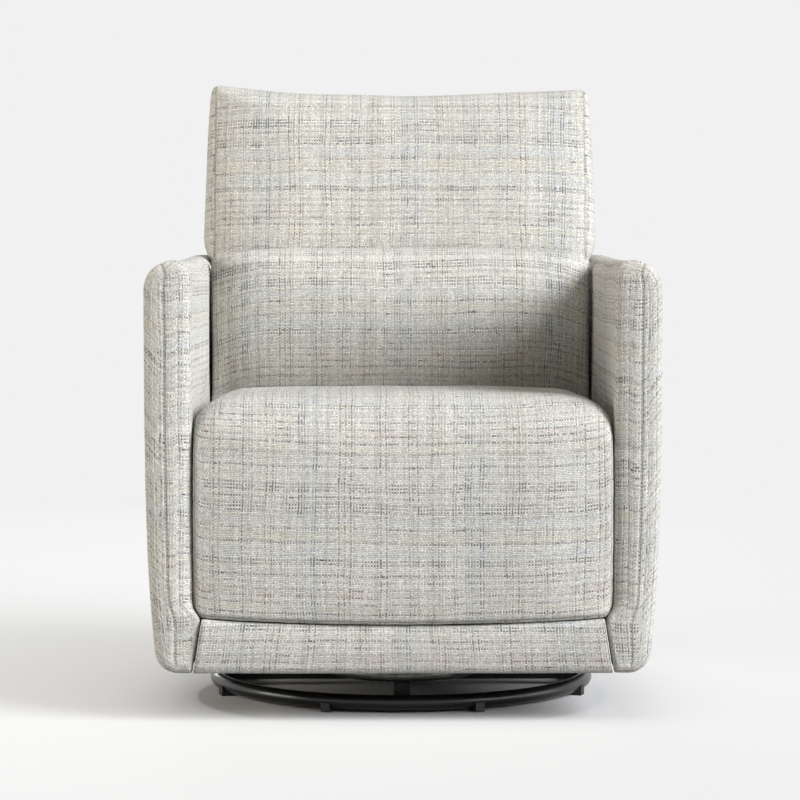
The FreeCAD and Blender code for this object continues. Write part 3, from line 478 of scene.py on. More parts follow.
# Section loops. A corner is (across, height, radius, bulge of the side that leaves it), clockwise
def roundedLoop(corners):
    points = np.array([corner[:2] for corner in corners])
    count = len(points)
    share = np.linspace(0, 1, arcSteps + 1)[:, None]
    arcs = []
    for k in range(count):
        here = points[k]
        behind = points[k - 1] - here
        ahead = points[(k + 1) % count] - here
        behind = behind / np.linalg.norm(behind)
        ahead = ahead / np.linalg.norm(ahead)
        half = 0.5 * math.acos(max(-1.0, min(1.0, float(behind @ ahead))))
        reach = corners[k][2] / math.tan(half)
        weight = 2 * math.sin(half) * share * (1 - share)
        bend = (1 - share) ** 2 * (here + behind * reach) + weight * here
        bend = bend + share ** 2 * (here + ahead * reach)
        arcs.append(bend / ((1 - share) ** 2 + weight + share ** 2))
    path = []
    marks = []
    between = np.linspace(0, 1, sideSteps + 1)[1:-1, None]
    for k in range(count):
        marks.append(sum(len(run) for run in path) + arcSteps // 2)
        path.append(arcs[k])
        start = arcs[k][-1]
        run = arcs[(k + 1) % count][0] - start
        outward = np.array((-run[1], run[0])) / (np.linalg.norm(run) + 1e-9)
        path.append(start + run * between + outward * corners[k][3] * 4 * between * (1 - between))
    return np.vstack(path), marks


def spread(count, dense=0.65):
    share = np.linspace(0, 1, count + 1)
    return (1 - dense) * share + dense * 0.5 * (1 - np.cos(np.pi * share))


# Four sides of a loop, cut at the marked corners: left, top, right, bottom
def sectionLoop(corners, marked, counts):
    path, marks = roundedLoop(corners)
    total = len(path)
    loop = []
    for side in range(4):
        start = marks[marked[side]]
        end = marks[marked[(side + 1) % 4]]
        if end <= start:
            end += total
        run = path[np.arange(start, end + 1) % total]
        length = lengthAlong(run)
        loop.append(pointsAt(run, length, spread(counts[side % 2])[:-1] * length[-1]))
    return np.vstack(loop)


# Fills a loop with a grid that meets its four sides
def fillGrid(ring, counts):
    tall, wide = counts
    left = ring[:tall + 1]
    top = ring[tall:tall + wide + 1]
    right = ring[tall + wide:2 * tall + wide + 1][::-1]
    bottom = np.vstack([ring[2 * tall + wide:], ring[:1]])[::-1]
    p = spread(tall)[:, None, None]
    q = spread(wide)[None, :, None]
    grid = (1 - q) * left[:, None] + q * right[:, None] + (1 - p) * bottom[None] + p * top[None]
    return grid - ((1 - p) * (1 - q) * left[0] + (1 - p) * q * right[0]
                   + p * (1 - q) * left[-1] + p * q * right[-1])


# A closed slab from loops at stations, its two ends filled, with its own cloth coordinates.
# A panel is a range of the loop, where its weave starts, whether it runs up or down the loop (1 or -1),
# and whether it is turned. A cap has ranges of its columns, each with the start and side of its weave
def buildSlab(name, rings, flats, counts, panels, capPanels, capCrown):
    tall, wide = counts
    stationCount, size = rings.shape[:2]
    points = [rings.reshape(-1, 3)]
    nextId = stationCount * size
    caps = []
    for end, ring, flat in ((0, rings[0], flats[0]), (1, rings[-1], flats[-1])):
        grid = fillGrid(ring, counts)
        plan = fillGrid(flat, counts)
        puff = capCrown(end, plan, spread(tall)[:, None], spread(wide)[None, :])
        grid = grid + puff[:, :, None] * capAxis(rings, end)
        ids = np.zeros((tall + 1, wide + 1), int)
        base = end * (stationCount - 1) * size
        ids[:, 0] = base + np.arange(tall + 1)
        ids[-1, :] = base + tall + np.arange(wide + 1)
        ids[:, -1] = base + tall + wide + np.arange(tall, -1, -1)
        ids[0, :] = base + (2 * tall + wide + np.arange(wide, -1, -1)) % size
        inside = (tall - 1) * (wide - 1)
        ids[1:-1, 1:-1] = nextId + np.arange(inside).reshape(tall - 1, wide - 1)
        nextId += inside
        points.append(grid[1:-1, 1:-1].reshape(-1, 3))
        caps.append((ids, plan))
    around = np.linalg.norm(np.diff(np.concatenate([rings, rings[:, :1]], 1), axis=1), axis=2)
    around = np.concatenate([np.zeros((stationCount, 1)), np.cumsum(around, 1)], 1)
    steps = np.linalg.norm(np.diff(rings, axis=0), axis=2)
    along = np.concatenate([[0], np.cumsum(np.median(steps, 1))])
    faces = []
    cloth = []
    for low, high, startU, startV, rise, turned in panels:
        onward = along[:, None] + 0 * around
        upward = rise * (around - around[:, low:low + 1])
        if turned:
            onward, upward = upward, onward
        u = startU + onward
        v = startV + upward
        for i in range(stationCount - 1):
            for k in range(low, high):
                after = (k + 1) % size
                faces.append((i * size + k, i * size + after, (i + 1) * size + after, (i + 1) * size + k))
                cloth += [(u[i, k], v[i, k]), (u[i, k + 1], v[i, k + 1]),
                          (u[i + 1, k + 1], v[i + 1, k + 1]), (u[i + 1, k], v[i + 1, k])]
    for (ids, plan), columns in zip(caps, capPanels):
        for low, high, startU, startV, side in columns:
            for p in range(tall):
                for q in range(low, high):
                    square = ((p, q), (p + 1, q), (p + 1, q + 1), (p, q + 1))
                    faces.append(tuple(int(ids[a, b]) for a, b in square))
                    cloth += [(startU + side * plan[a, b, 0], startV + plan[a, b, 1]) for a, b in square]
    mesh = bpy.data.meshes.new(name)
    mesh.from_pydata(np.vstack(points).tolist(), [], faces)
    layer = mesh.uv_layers.new(name="weave")
    layer.data.foreach_set("uv", np.array(cloth, np.float32).ravel())
    work = bmesh.new()
    work.from_mesh(mesh)
    bmesh.ops.recalc_face_normals(work, faces=work.faces)
    work.to_mesh(mesh)
    work.free()
    mesh.materials.append(plaidTweed)
    piece = bpy.data.objects.new(name, mesh)
    scene.collection.objects.link(piece)
    return piece, caps


def capAxis(rings, end):
    middle = rings.mean(1)
    away = middle[0] - middle[1] if end == 0 else middle[-1] - middle[-2]
    return away / np.linalg.norm(away)


def flatCap(end, plan, p, q):
    return np.zeros(plan.shape[:2])


# Even puff over an end panel, falling off at its edges
def evenCap(crown):
    return lambda end, plan, p, q: crown * (16 * p * (1 - p) * q * (1 - q)) ** 0.5


def coordsOf(mesh):
    values = np.zeros(len(mesh.vertices) * 3, np.float32)
    mesh.vertices.foreach_get("co", values)
    return values.reshape(-1, 3).astype(float)


def setCoords(mesh, values):
    mesh.vertices.foreach_set("co", values.astype(np.float32).ravel())
    mesh.update()


# Each point's move is shared with its neighbours, so that small wrinkles ease out
def easeWrinkles(mesh, moved, held, passes=8):
    pairs = np.zeros(len(mesh.edges) * 2, np.int32)
    mesh.edges.foreach_get("vertices", pairs)
    first, second = pairs.reshape(-1, 2).T
    count = np.bincount(pairs, minlength=len(moved))[:, None]
    for _ in range(passes):
        total = np.zeros_like(moved)
        np.add.at(total, first, moved[second])
        np.add.at(total, second, moved[first])
        moved = (moved + total / np.maximum(count, 1)) / 2
        moved[held] = 0
    return moved


clothFrames = 20


# Cloth under inner pressure, held along its seams. A point moves no further than the reach
def inflate(piece, held, pressure, reach):
    scene.frame_set(1)
    rest = coordsOf(piece.data)
    group = piece.vertex_groups.new(name="held")
    group.add([int(i) for i in held], 1.0, "REPLACE")
    cloth = piece.modifiers.new("cloth", "CLOTH")
    settings = cloth.settings
    settings.quality = 5
    settings.mass = 0.3
    settings.tension_stiffness = 14
    settings.compression_stiffness = 14
    settings.shear_stiffness = 6
    settings.bending_stiffness = 0.8
    settings.use_pressure = True
    settings.uniform_pressure_force = pressure
    settings.vertex_group_mass = "held"
    settings.effector_weights.gravity = 0
    cloth.point_cache.frame_start = 1
    cloth.point_cache.frame_end = clothFrames
    for step in range(1, clothFrames + 1):
        scene.frame_set(step)
    shaped = piece.evaluated_get(bpy.context.evaluated_depsgraph_get()).to_mesh()
    moved = coordsOf(shaped) - rest
    piece.modifiers.remove(cloth)
    piece.vertex_groups.clear()
    length = np.linalg.norm(moved, axis=1, keepdims=True)
    moved = moved * np.tanh(length / reach) * reach / np.maximum(length, 1e-9)
    setCoords(piece.data, rest + easeWrinkles(piece.data, moved, held))
    scene.frame_set(1)
    print(piece.name, "inflated, largest move", round(float(length.max()) * 1000, 1), "mm")


def smoothOnce(piece):
    smooth = piece.modifiers.new("smooth", "SUBSURF")
    smooth.levels = 1
    smooth.render_levels = 1
    graph = bpy.context.evaluated_depsgraph_get()
    finer = bpy.data.meshes.new_from_object(piece.evaluated_get(graph))
    piece.modifiers.remove(smooth)
    piece.data = finer
    finer.shade_smooth()


def normalsOf(mesh):
    values = np.zeros(len(mesh.vertices) * 3, np.float32)
    mesh.vertex_normals.foreach_get("vector", values)
    return values.reshape(-1, 3).astype(float)


seamStep = 0.0012             # between the points along a seam


def seamPoints(places, lines):
    found = []
    for line in lines:
        run = places[np.array(line)]
        length = lengthAlong(run)
        wanted = np.linspace(0, length[-1], max(2, int(length[-1] / seamStep)))
        found.append(pointsAt(run, length, wanted))
    return found


stitch = {"pitch": 0.0052, "length": 0.0034, "radius": 0.00055, "slant": 0.5, "lift": 0.0003}
stitchRuns = []
padding = {
    "lumpScale": 9,
    "lumpFree": 0.05,         # lumps grow to their full height this far from a seam
    "puckerScale": 55,        # finer puckers stay close to it
    "puckerReach": 0.022,
    "puckerShare": 0.55,
}


# Draws the cloth in along its seams, lets the padding lie a little unevenly, and marks the seams for painted
# shade in the cloth's colour
def sewSeams(piece, lines, depth, width, uneven, seed):
    mesh = piece.data
    everyPoint = np.vstack(seamPoints(coordsOf(mesh), lines))
    tree = kdtree.KDTree(len(everyPoint))
    for index, point in enumerate(everyPoint):
        tree.insert(point, index)
    tree.balance()
    places = coordsOf(mesh)
    normals = normalsOf(mesh)
    near = np.zeros(len(places))
    lumps = np.zeros(len(places))
    offset = Vector((seed * 3.1, seed * 1.7, seed * 0.9))
    for index, point in enumerate(places):
        place = Vector(point)
        gap = tree.find(place)[2]
        near[index] = math.exp(-(gap / width) ** 2)
        pucker = noise.noise(place * padding["puckerScale"] + offset)
        pucker = pucker * math.exp(-gap / padding["puckerReach"])
        lump = noise.noise(place * padding["lumpScale"] + offset) * min(1.0, gap / padding["lumpFree"])
        lumps[index] = lump + padding["puckerShare"] * pucker
    setCoords(mesh, places + normals * (uneven * lumps - depth * near)[:, None])
    # painted shade: how near a point lies to a seam, which darkens the cloth's colour in the seam's groove
    paintedSeamShade = mesh.attributes.new("seam", "FLOAT", "POINT")
    paintedSeamShade.data.foreach_set("value", (near ** 2).astype(np.float32))
    return seamPoints(coordsOf(mesh) + normalsOf(mesh) * stitch["lift"], lines)


def dress(piece, node):
    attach(piece, "seat_unit")
    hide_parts(node)


# Smooths and sews a piece, and lets it stand for its CAD node
def cover(piece, node, form, seams, seed):
    smoothOnce(piece)
    runs = sewSeams(piece, seams, *form["sewing"], seed)
    dress(piece, node)
    print(piece.name, "made,", len(piece.data.polygons), "faces")
    return runs


# Slab arms: one sheet from the inside over the top and the front, and an outside panel
arm = {
    "counts": (64, 20),
    "noseRings": 8,
    "noseInset": 0.020,
    "noseDepth": 0.014,
    "frontCrown": 0.0065,     # soft roll of the front between its edges
    "frontFoot": 0.14,        # share of its height over which the roll sets in
    "rings": 70,
    "seamColumn": 13,         # where the inside sheet meets the outside panel
    "toeReach": 0.0135,       # the front widens under the seat's corner
    "toeTop": 0.1505,
    "toeRise": 0.020,
    "toeGap": 0.002,          # it ends before the front board
    "toeBlend": 0.006,
    "tailRadius": 0.003,
    "topSag": 0.0035,         # the top dips a little between the front and the low back
    "sagHeights": (0.50, 0.12),
    "insideStart": -0.350,    # the inside swells a little between the front and the cushions
    "insideEnd": 0.030,
    "swellFoot": (0.035, 0.055),    # from below the seat's top, and over what height it sets in
    "swellTop": (0.004, 0.030),     # and how it ends below the arm's top
    "clothStart": {"left_arm": (0.061, 0.020), "right_arm": (0.148, 0.060)},
    "insideSwell": {"left_arm": 0.0085, "right_arm": 0.0020},
    "outsideStart": 0.09,     # the outside panel is cut from another part of the cloth
    "sewing": (0.0016, 0.0022, 0.0010),     # depth and width of the seams, unevenness of the padding
    "fill": 0.8,
}


def shellCorners(inset, toe):
    thick = shell["thickness"]
    foot = thick - shell["drawIn"]
    low = skirt + inset * 0.6
    high = armTop - inset
    heel = inset * 0.3
    corners = [(heel, low, max(0.003, shell["hemRadius"] - inset), 0.0)]
    if toe > 0:
        corners = [(heel, low, 0.004, 0.0),
                   (heel - arm["toeReach"] * toe, arm["toeTop"], 0.003, 0.0),
                   (inset, arm["toeTop"] + arm["toeRise"], 0.012, 0.0)]
    marks = [0, len(corners), len(corners) + 1, len(corners) + 3]
    corners += [(inset, high, max(0.004, shell["innerTopRadius"] - inset), 0.0),
                (thick - inset, high, max(0.004, shell["outerTopRadius"] - inset), 0.0),
                (thick - inset, shell["drawStart"], 0.6, shell["drawBulge"]),
                (foot - inset, low, max(0.004, shell["footRadius"] - inset), 0.0)]
    return corners, marks


def armStations():
    deep = arm["noseDepth"]
    tail = arm["tailRadius"]
    start = armFront + arm["frontCrown"]
    found = []
    for turn in np.linspace(0, math.pi / 2, arm["noseRings"] + 1):
        found.append((start + deep * (1 - math.cos(turn)), arm["noseInset"] * (1 - math.sin(turn))))
    start += deep
    end = cornerY - tail
    for share in spread(arm["rings"], 0.35)[1:]:
        found.append((start + (end - start) * share, 0.0))
    found.append((cornerY - tail * 0.3, tail * 0.4))
    found.append((cornerY - shell["endGap"], tail))
    return found


def frontRoll(end, plan, p, q):
    if end == 1:
        return np.zeros(plan.shape[:2])
    ends = np.clip(p / arm["frontFoot"], 0, 1) * (1 - np.abs(2 * p - 1) ** 9)
    return arm["frontCrown"] * (4 * q * (1 - q)) ** 0.8 * ends


def insideSwell(y, height, most):
    share = np.clip((y - arm["insideStart"]) / (arm["insideEnd"] - arm["insideStart"]), 0, 1)
    along = np.sin(math.pi * share ** 1.5) ** 0.7
    (below, rise), (under, fall) = arm["swellFoot"], arm["swellTop"]
    up = np.clip((height - seatHigh.z + below) / rise, 0, 1)
    up = up * np.clip((armTop - under - height) / fall, 0, 1)
    return most * along * up * up * (3 - 2 * up)


def makeArm(name, side):
    counts = arm["counts"]
    tall, wide = counts
    rings = []
    flats = []
    for y, inset in armStations():
        toe = max(0.0, min(1.0, (boardFront - arm["toeGap"] - y) / arm["toeBlend"]))
        corners, marks = shellCorners(inset, toe)
        flat = sectionLoop(corners, marks, counts)
        flat[:tall, 0] -= insideSwell(y, flat[:tall, 1], arm["insideSwell"][name])
        share = (y - armFront) / (cornerY - armFront)
        sag = arm["topSag"] * math.sin(math.pi * share ** 0.7)
        sagStart, sagRise = arm["sagHeights"]
        flat[:, 1] -= sag * np.clip((flat[:, 1] - sagStart) / sagRise, 0, 1)
        flats.append(flat)
        rings.append(np.stack([side * (innerHalf + flat[:, 0]), np.full(len(flat), y), flat[:, 1]], 1))
    rings = np.array(rings)
    flats = np.array(flats)
    size = rings.shape[1]
    last = len(rings) - 1
    seam = arm["seamColumn"]
    startU, startV = arm["clothStart"][name]
    outerU = startU + arm["outsideStart"]
    inset = arm["noseInset"]
    panels = [(0, tall + seam, startU, startV + skirt, 1, False),
              (tall + seam, 2 * tall + wide, outerU, startV + armTop, -1, False),
              (2 * tall + wide, size, startU, startV, 1, True)]
    front = [(0, seam, startU + inset, startV, -1),
             (seam, wide, outerU - shell["thickness"] + inset, startV, 1)]
    caps = [front, [(0, wide, startU, startV, 1)]]
    piece, ends = buildSlab(name + "_cover", rings, flats, counts, panels, caps, frontRoll)
    outsideSeam = [int(ends[0][0][p, seam]) for p in range(tall + 1)]
    outsideSeam += [i * size + tall + seam for i in range(1, last)]
    stitchRuns.extend(cover(piece, name, arm, [outsideSeam], 2 + side))


makeArm("left_arm", -1)
makeArm("right_arm", 1)


# Low back that joins the arms behind the cushions
lowBack = {
    "counts": (64, 20),
    "cornerRings": 14,
    "wallRings": 60,
    "tailRadius": 0.003,
    "seamColumn": 13,
    "clothStart": (0.030, 0.020),
    "sewing": (0.0022, 0.0026, 0.0012),
    "fill": 0.8,
    "seed": 7,
}


def lowBackStations():
    # x, y and heading of the inner face's line, with the inset of the end folds
    inner = shell["cornerRadius"] - shell["thickness"]
    tail = lowBack["tailRadius"]
    found = []
    for turn in np.linspace(0, math.pi / 2, lowBack["cornerRings"] + 1):
        found.append((cornerX + inner * math.cos(turn), cornerY + inner * math.sin(turn), turn, 0.0))
    for share in spread(lowBack["wallRings"], 0.2)[1:-1]:
        found.append((cornerX - 2 * cornerX * share, cornerY + inner, math.pi / 2, 0.0))
    for turn in np.linspace(math.pi / 2, math.pi, lowBack["cornerRings"] + 1):
        found.append((-cornerX + inner * math.cos(turn), cornerY + inner * math.sin(turn), turn, 0.0))
    reach = cornerX + inner
    first = [(reach, cornerY + shell["endGap"], 0.0, tail), (reach, cornerY + 0.0012, 0.0, tail * 0.4)]
    final = [(-reach, y, math.pi, inset) for _, y, _, inset in reversed(first)]
    found[0] = (reach, cornerY + tail, 0.0, 0.0)
    found[-1] = (-reach, cornerY + tail, math.pi, 0.0)
    return first + found + final


def makeLowBack():
    counts = lowBack["counts"]
    tall, wide = counts
    rings = []
    flats = []
    for x, y, turn, inset in lowBackStations():
        corners, marks = shellCorners(inset, 0)
        flat = sectionLoop(corners, marks, counts)
        flats.append(flat)
        out = flat[:, 0]
        rings.append(np.stack([x + out * math.cos(turn), y + out * math.sin(turn), flat[:, 1]], 1))
    rings = np.array(rings)
    size = rings.shape[1]
    last = len(rings) - 1
    seam = lowBack["seamColumn"]
    startU, startV = lowBack["clothStart"]
    panels = [(0, tall, startU, startV + skirt, 1, False),
              (tall, tall + seam, startU, startV, 1, True),
              (tall + seam, 2 * tall + wide, startU, startV + armTop, -1, False),
              (2 * tall + wide, size, startU, startV, 1, True)]
    caps = [[(0, wide, startU, startV, 1)]] * 2
    piece, _ = buildSlab("low_back_cover", rings, np.array(flats), counts, panels, caps, flatCap)
    seams = [[i * size + column for i in range(1, last)] for column in (tall, tall + seam)]
    stitchRuns.extend(cover(piece, "rear_shell", lowBack, seams, lowBack["seed"]))


makeLowBack()


# Pieces lofted across the chair. section gives the corners at a share of the half width, -1 to 1, and
# across gives the x of the loop's points there
def loftAcross(form, section, marked, across, dense=0.72):
    rings = []
    flats = []
    for s in 2 * spread(form["rings"], dense) - 1:
        flat = sectionLoop(section(s), marked, form["counts"])
        flats.append(flat)
        rings.append(np.stack([across(s, flat) + 0 * flat[:, 0], flat[:, 0], flat[:, 1]], 1))
    return np.array(rings), np.array(flats)


# The weave of a face, up to a place in the loop, and of the rest
def facePanels(form, size, split):
    startU = -form["half"] - form["clothStart"][0]
    startV = form["clothStart"][1]
    return [(0, split, startU, startV, 1, False),
            (split, size, startU, startV + form.get("rearStart", 0.0), 1, False)]


# Runs of the loop at both ends
def endRuns(rings, start, count):
    final, size = len(rings) - 1, rings.shape[1]
    return [[i * size + start + k for k in range(count + 1)] for i in (0, final)]


# What the cloth is held by: its foot, the loop from a place onwards, and both ends
def heldPoints(rings, ends, start):
    count, size = rings.shape[:2]
    held = [i * size + k for i in range(count) for k in [0] + list(range(start, size))]
    held += [int(v) for ids, _ in ends for v in ids.ravel()]
    return sorted(set(held))


# Front rail under the seat, mitred to the arms
rail = {
    "counts": (18, 14),
    "rings": 64,
    "half": innerHalf,
    "radius": 0.013,
    "mitre": 0.012,
    "gap": 0.0010,
    "boardGap": 0.0004,
    "lipGap": 0.0006,
    "top": seatBottom - 0.0004,
    "sag": 0.0045,            # the seam under the seat dips in the middle
    "tilt": 0.005,            # the hem lies a little further back
    "crown": 0.0020,
    "clothStart": (-0.1036, 0.030),
    "sewing": (0.0018, 0.0024, 0.0008),
    "fill": 0.8,
    "seed": 11,
}


def seamDip(share):
    return rail["sag"] * (1 - 2 * share ** 2)


def railSection(s):
    high = rail["top"] - seamDip(s)
    lip = boardLow.z - rail["lipGap"]
    rear = boardFront - rail["boardGap"]
    return [(armFront + rail["tilt"], skirt, rail["radius"], rail["crown"]),
            (armFront, high, rail["radius"] * 0.75, 0.0), (rear, high, 0.003, 0.0), (rear, lip, 0.002, 0.0),
            (boardHigh.y, lip, 0.003, 0.0), (boardHigh.y, skirt, 0.004, 0.0)]


def railWidth(s, flat):
    up = flat[:, 1] - skirt
    return s * (rail["half"] - rail["gap"] - rail["mitre"] * up / (rail["top"] - skirt))


def makeRail():
    tall, wide = rail["counts"]
    rings, flats = loftAcross(rail, railSection, [0, 1, 2, 5], railWidth, 0.5)
    panels = facePanels(rail, rings.shape[1], tall + wide)
    caps = [[(0, wide, 0.0, 0.0, 1)]] * 2
    piece, _ = buildSlab("front_rail_cover", rings, flats, rail["counts"], panels, caps, flatCap)
    stitchRuns.extend(cover(piece, "front_rail_pad", rail, endRuns(rings, 0, tall), rail["seed"]))


makeRail()


# Thick seat cushion: its top runs over the front in one sheet
seat = {
    "counts": (92, 10),
    "rings": 76,
    "half": 0.2988,
    "front": -0.3965,
    "frontBow": 0.004,
    "frontDraw": 0.012,
    "edgeRadius": 0.058,
    "edgeTighten": 0.014,
    "top": 0.4765,
    "topBow": 0.004,
    "shoulder": 0.030,
    "shoulderPower": 22,
    "cornerRadius": 0.014,
    "rearFall": 0.020,
    "bulge": 0.003,
    "sideCrown": 0.0032,
    "deck": 0.3215,
    "footGap": 0.0012,        # over the front rail
    "footRadius": 0.011,
    "footLean": 0.004,
    "rearRadius": 0.016,
    "boardGap": 0.0008,
    "rearGap": 0.006,         # to the back cushion
    "pressure": 4.0,
    "reach": 0.0035,
    "clothStart": (0.0136, 0.0085),
    "sewing": (0.0012, 0.0022, 0.0018),
    "fill": 0.75,
    "seed": 13,
}


def leanedFront(z):
    return rakeFoot[0] + (z - rakeFoot[1]) * math.tan(backRake)


def seatSection(s):
    pull = abs(s) ** 10
    corner = seat["cornerRadius"]
    into = max(0.0, abs(s * seat["half"]) - seat["half"] + corner)
    lift = corner - math.sqrt(max(0.0, corner ** 2 - into ** 2))
    low = seatBottom + seat["footGap"] - seamDip(s) + lift
    top = seat["top"] - seat["topBow"] * s ** 2 - seat["shoulder"] * abs(s) ** seat["shoulderPower"]
    front = seat["front"] + seat["frontBow"] * s ** 2 + seat["frontDraw"] * pull
    edge = seat["edgeRadius"] - seat["edgeTighten"] * pull
    deck = seat["deck"]
    behind = boardFront - seat["boardGap"]
    return [(front + seat["footLean"], low, seat["footRadius"], seat["bulge"]),
            (front, top - 0.004, edge, seat["bulge"]),
            (leanedFront(top) - seat["rearGap"], top - seat["rearFall"], seat["rearRadius"], 0.0),
            (leanedFront(deck) - seat["rearGap"], deck, 0.005, 0.0),
            (behind, deck, 0.003, 0.0), (behind, low, 0.003, 0.0)]


def makeSeat():
    tall, wide = seat["counts"]
    rings, flats = loftAcross(seat, seatSection, [0, 2, 3, 5], lambda s, flat: s * seat["half"])
    size = rings.shape[1]
    caps = [[(0, wide, 0.0, 0.0, 1)]] * 2
    piece, ends = buildSlab("seat_cushion_cover", rings, flats, seat["counts"],
                            facePanels(seat, size, tall), caps, evenCap(seat["sideCrown"]))
    inflate(piece, heldPoints(rings, ends, tall), seat["pressure"], seat["reach"])
    seams = endRuns(rings, 0, tall) + [[i * size for i in range(len(rings))]]
    cover(piece, "seat_cushion", seat, seams, seat["seed"])


makeSeat()


def lean(points):
    turned = points.copy()
    y = points[..., 1] - rakeFoot[0]
    z = points[..., 2] - rakeFoot[1]
    turned[..., 1] = rakeFoot[0] + y * math.cos(backRake) + z * math.sin(backRake)
    turned[..., 2] = rakeFoot[1] - y * math.sin(backRake) + z * math.cos(backRake)
    return turned


# Lumbar cushion, leaning on the back
lumbar = {
    "counts": (36, 22),
    "rings": 72,
    "half": 0.3005,
    "face": 0.0140,
    "rear": 0.1125,
    "low": 0.4570,
    "tall": 0.2115,
    "bow": 0.012,
    "topBow": 0.003,
    "topDrop": 0.010,         # at the ends
    "draw": 0.038,            # the face falls away towards the ends
    "roll": 0.028,            # and rolls back sharply there
    "sideDraw": 0.0045,       # the ends pull in below the top
    "tuck": 0.054,            # the foot of the face lies back
    "footRoom": 0.014,
    "endDrop": 0.036,         # the ends sink into the seat's shoulders
    "topRadius": 0.024,
    "footRadius": 0.010,
    "rearTopRadius": 0.013,
    "rearFootRadius": 0.006,
    "bulge": 0.023,
    "sideCrown": 0.001,
    "pressure": 4.0,
    "reach": 0.005,
    "clothStart": (-0.085, 0.2217),
    "rearStart": 0.18,
    "sewing": (0.0010, 0.0024, 0.0018),
    "fill": 0.7,
    "seed": 17,
}


def lumbarEnds(s):
    low = lumbar["low"] - lumbar["endDrop"] * abs(s) ** 8
    high = lumbar["low"] + lumbar["tall"] - lumbar["topBow"] * s ** 2 - lumbar["topDrop"] * abs(s) ** 14
    return low, high


def lumbarSection(s):
    face = lumbar["face"] + lumbar["bow"] * s ** 2
    face += lumbar["draw"] * abs(s) ** 8 + lumbar["roll"] * abs(s) ** 30
    rear = lumbar["rear"]
    deep = rear - face
    foot = min(face + lumbar["tuck"], rear - lumbar["footRoom"])
    sole = rear - foot
    low, high = lumbarEnds(s)
    return [(foot, low - deep * math.tan(backRake), min(lumbar["footRadius"], 0.5 * sole), lumbar["bulge"]),
            (face, high, min(lumbar["topRadius"], 0.55 * deep), 0.002),
            (rear, high, min(lumbar["rearTopRadius"], 0.35 * deep), 0.0),
            (rear, low, min(lumbar["rearFootRadius"], 0.3 * sole), 0.0)]


def lumbarWidth(s, flat):
    low, high = lumbarEnds(s)
    up = np.clip((flat[:, 1] - low) / (high - low), 0, 1)
    pulled = lumbar["sideDraw"] * np.sin(math.pi * up ** 0.6) * abs(s) ** 12
    return s * lumbar["half"] - math.copysign(1, s) * pulled


def makeLumbar():
    tall, wide = lumbar["counts"]
    rings, flats = loftAcross(lumbar, lumbarSection, [0, 1, 2, 3], lumbarWidth)
    rings = lean(rings)
    size = rings.shape[1]
    caps = [[(0, wide, 0.0, 0.0, 1)]] * 2
    piece, ends = buildSlab("lumbar_cushion_cover", rings, flats, lumbar["counts"],
                            facePanels(lumbar, size, tall), caps, evenCap(lumbar["sideCrown"]))
    inflate(piece, heldPoints(rings, ends, tall + wide), lumbar["pressure"], lumbar["reach"])
    cover(piece, "lumbar_cushion", lumbar, endRuns(rings, 0, tall), lumbar["seed"])


makeLumbar()


# Tall boxed back cushion with a dipped top
back = {
    "counts": (64, 26),
    "rings": 76,
    "half": 0.2985,
    "face": 0.1290,
    "rear": 0.2815,
    "low": 0.3470,
    "crown": 0.006,
    "endDraw": 0.026,
    "top": 0.9570,            # before the back is leaned
    "dip": 0.0225,            # middle of the top edge below the taller ear
    "earLean": 0.0034,        # the other ear is a little lower
    "earDrop": 0.002,
    "topRadius": 0.030,
    "earRadius": 0.016,
    "rearRadius": 0.018,
    "footRadius": 0.010,
    "topBulge": 0.004,
    "bulge": 0.018,
    "footBack": 0.024,        # the foot of the face lies back, behind the lumbar cushion
    "boxingLow": 0.022,       # how far the side boxing puffs out over the arms, and at the top
    "boxingHigh": 0.009,
    "boxingHidden": 0.0015,
    "pressure": 4.0,
    "reach": 0.004,
    "clothStart": (-0.0765, 0.1256),
    "rearStart": 0.57,
    "boxingStart": (0.05, 0.02),
    "sewing": (0.0022, 0.0026, 0.0020),
    "fill": 0.75,
    "seed": 23,
}


def boxingPuff(end, plan, p, q):
    height = plan[:, :, 1]
    over = np.clip((height - armTop + 0.010) / 0.045, 0, 1)
    up = np.clip((height - armTop - 0.03) / (back["top"] - armTop - 0.03), 0, 1)
    swell = back["boxingHigh"] + (back["boxingLow"] - back["boxingHigh"]) * (1 - up) ** 0.6
    swell = back["boxingHidden"] + over * (swell - back["boxingHidden"])
    return swell * (4 * q * (1 - q)) ** 0.5 * (1 - np.abs(2 * p - 1) ** 60)


def backSection(s):
    face = back["face"] + back["crown"] * s ** 2 + back["endDraw"] * abs(s) ** 10
    ear = back["dip"] - back["earLean"] * (1 + s)
    rim = back["topRadius"] + (back["earRadius"] - back["topRadius"]) * abs(s) ** 12
    top = back["top"] - back["dip"] + ear * abs(s) ** 3 - back["earDrop"] * abs(s) ** 70
    return [(face + back["footBack"], back["low"], back["footRadius"], back["bulge"]),
            (face, top, rim, back["topBulge"]),
            (back["rear"], top, back["rearRadius"], 0.0), (back["rear"], back["low"], 0.006, 0.0)]


def makeBack():
    tall, wide = back["counts"]
    rings, flats = loftAcross(back, backSection, [0, 1, 2, 3], lambda s, flat: s * back["half"])
    rings = lean(rings)
    size = rings.shape[1]
    caps = [[(0, wide, *back["boxingStart"], 1)]] * 2
    piece, ends = buildSlab("back_cushion_cover", rings, flats, back["counts"],
                            facePanels(back, size, tall), caps, boxingPuff)
    inflate(piece, heldPoints(rings, ends, tall + wide), back["pressure"], back["reach"])
    seams = endRuns(rings, 0, tall) + endRuns(rings, tall, wide)
    seams += [[i * size + tall + wide for i in range(len(rings))]]
    stitchRuns.extend(cover(piece, "back_cushion", back, seams, back["seed"])[:2])


makeBack()


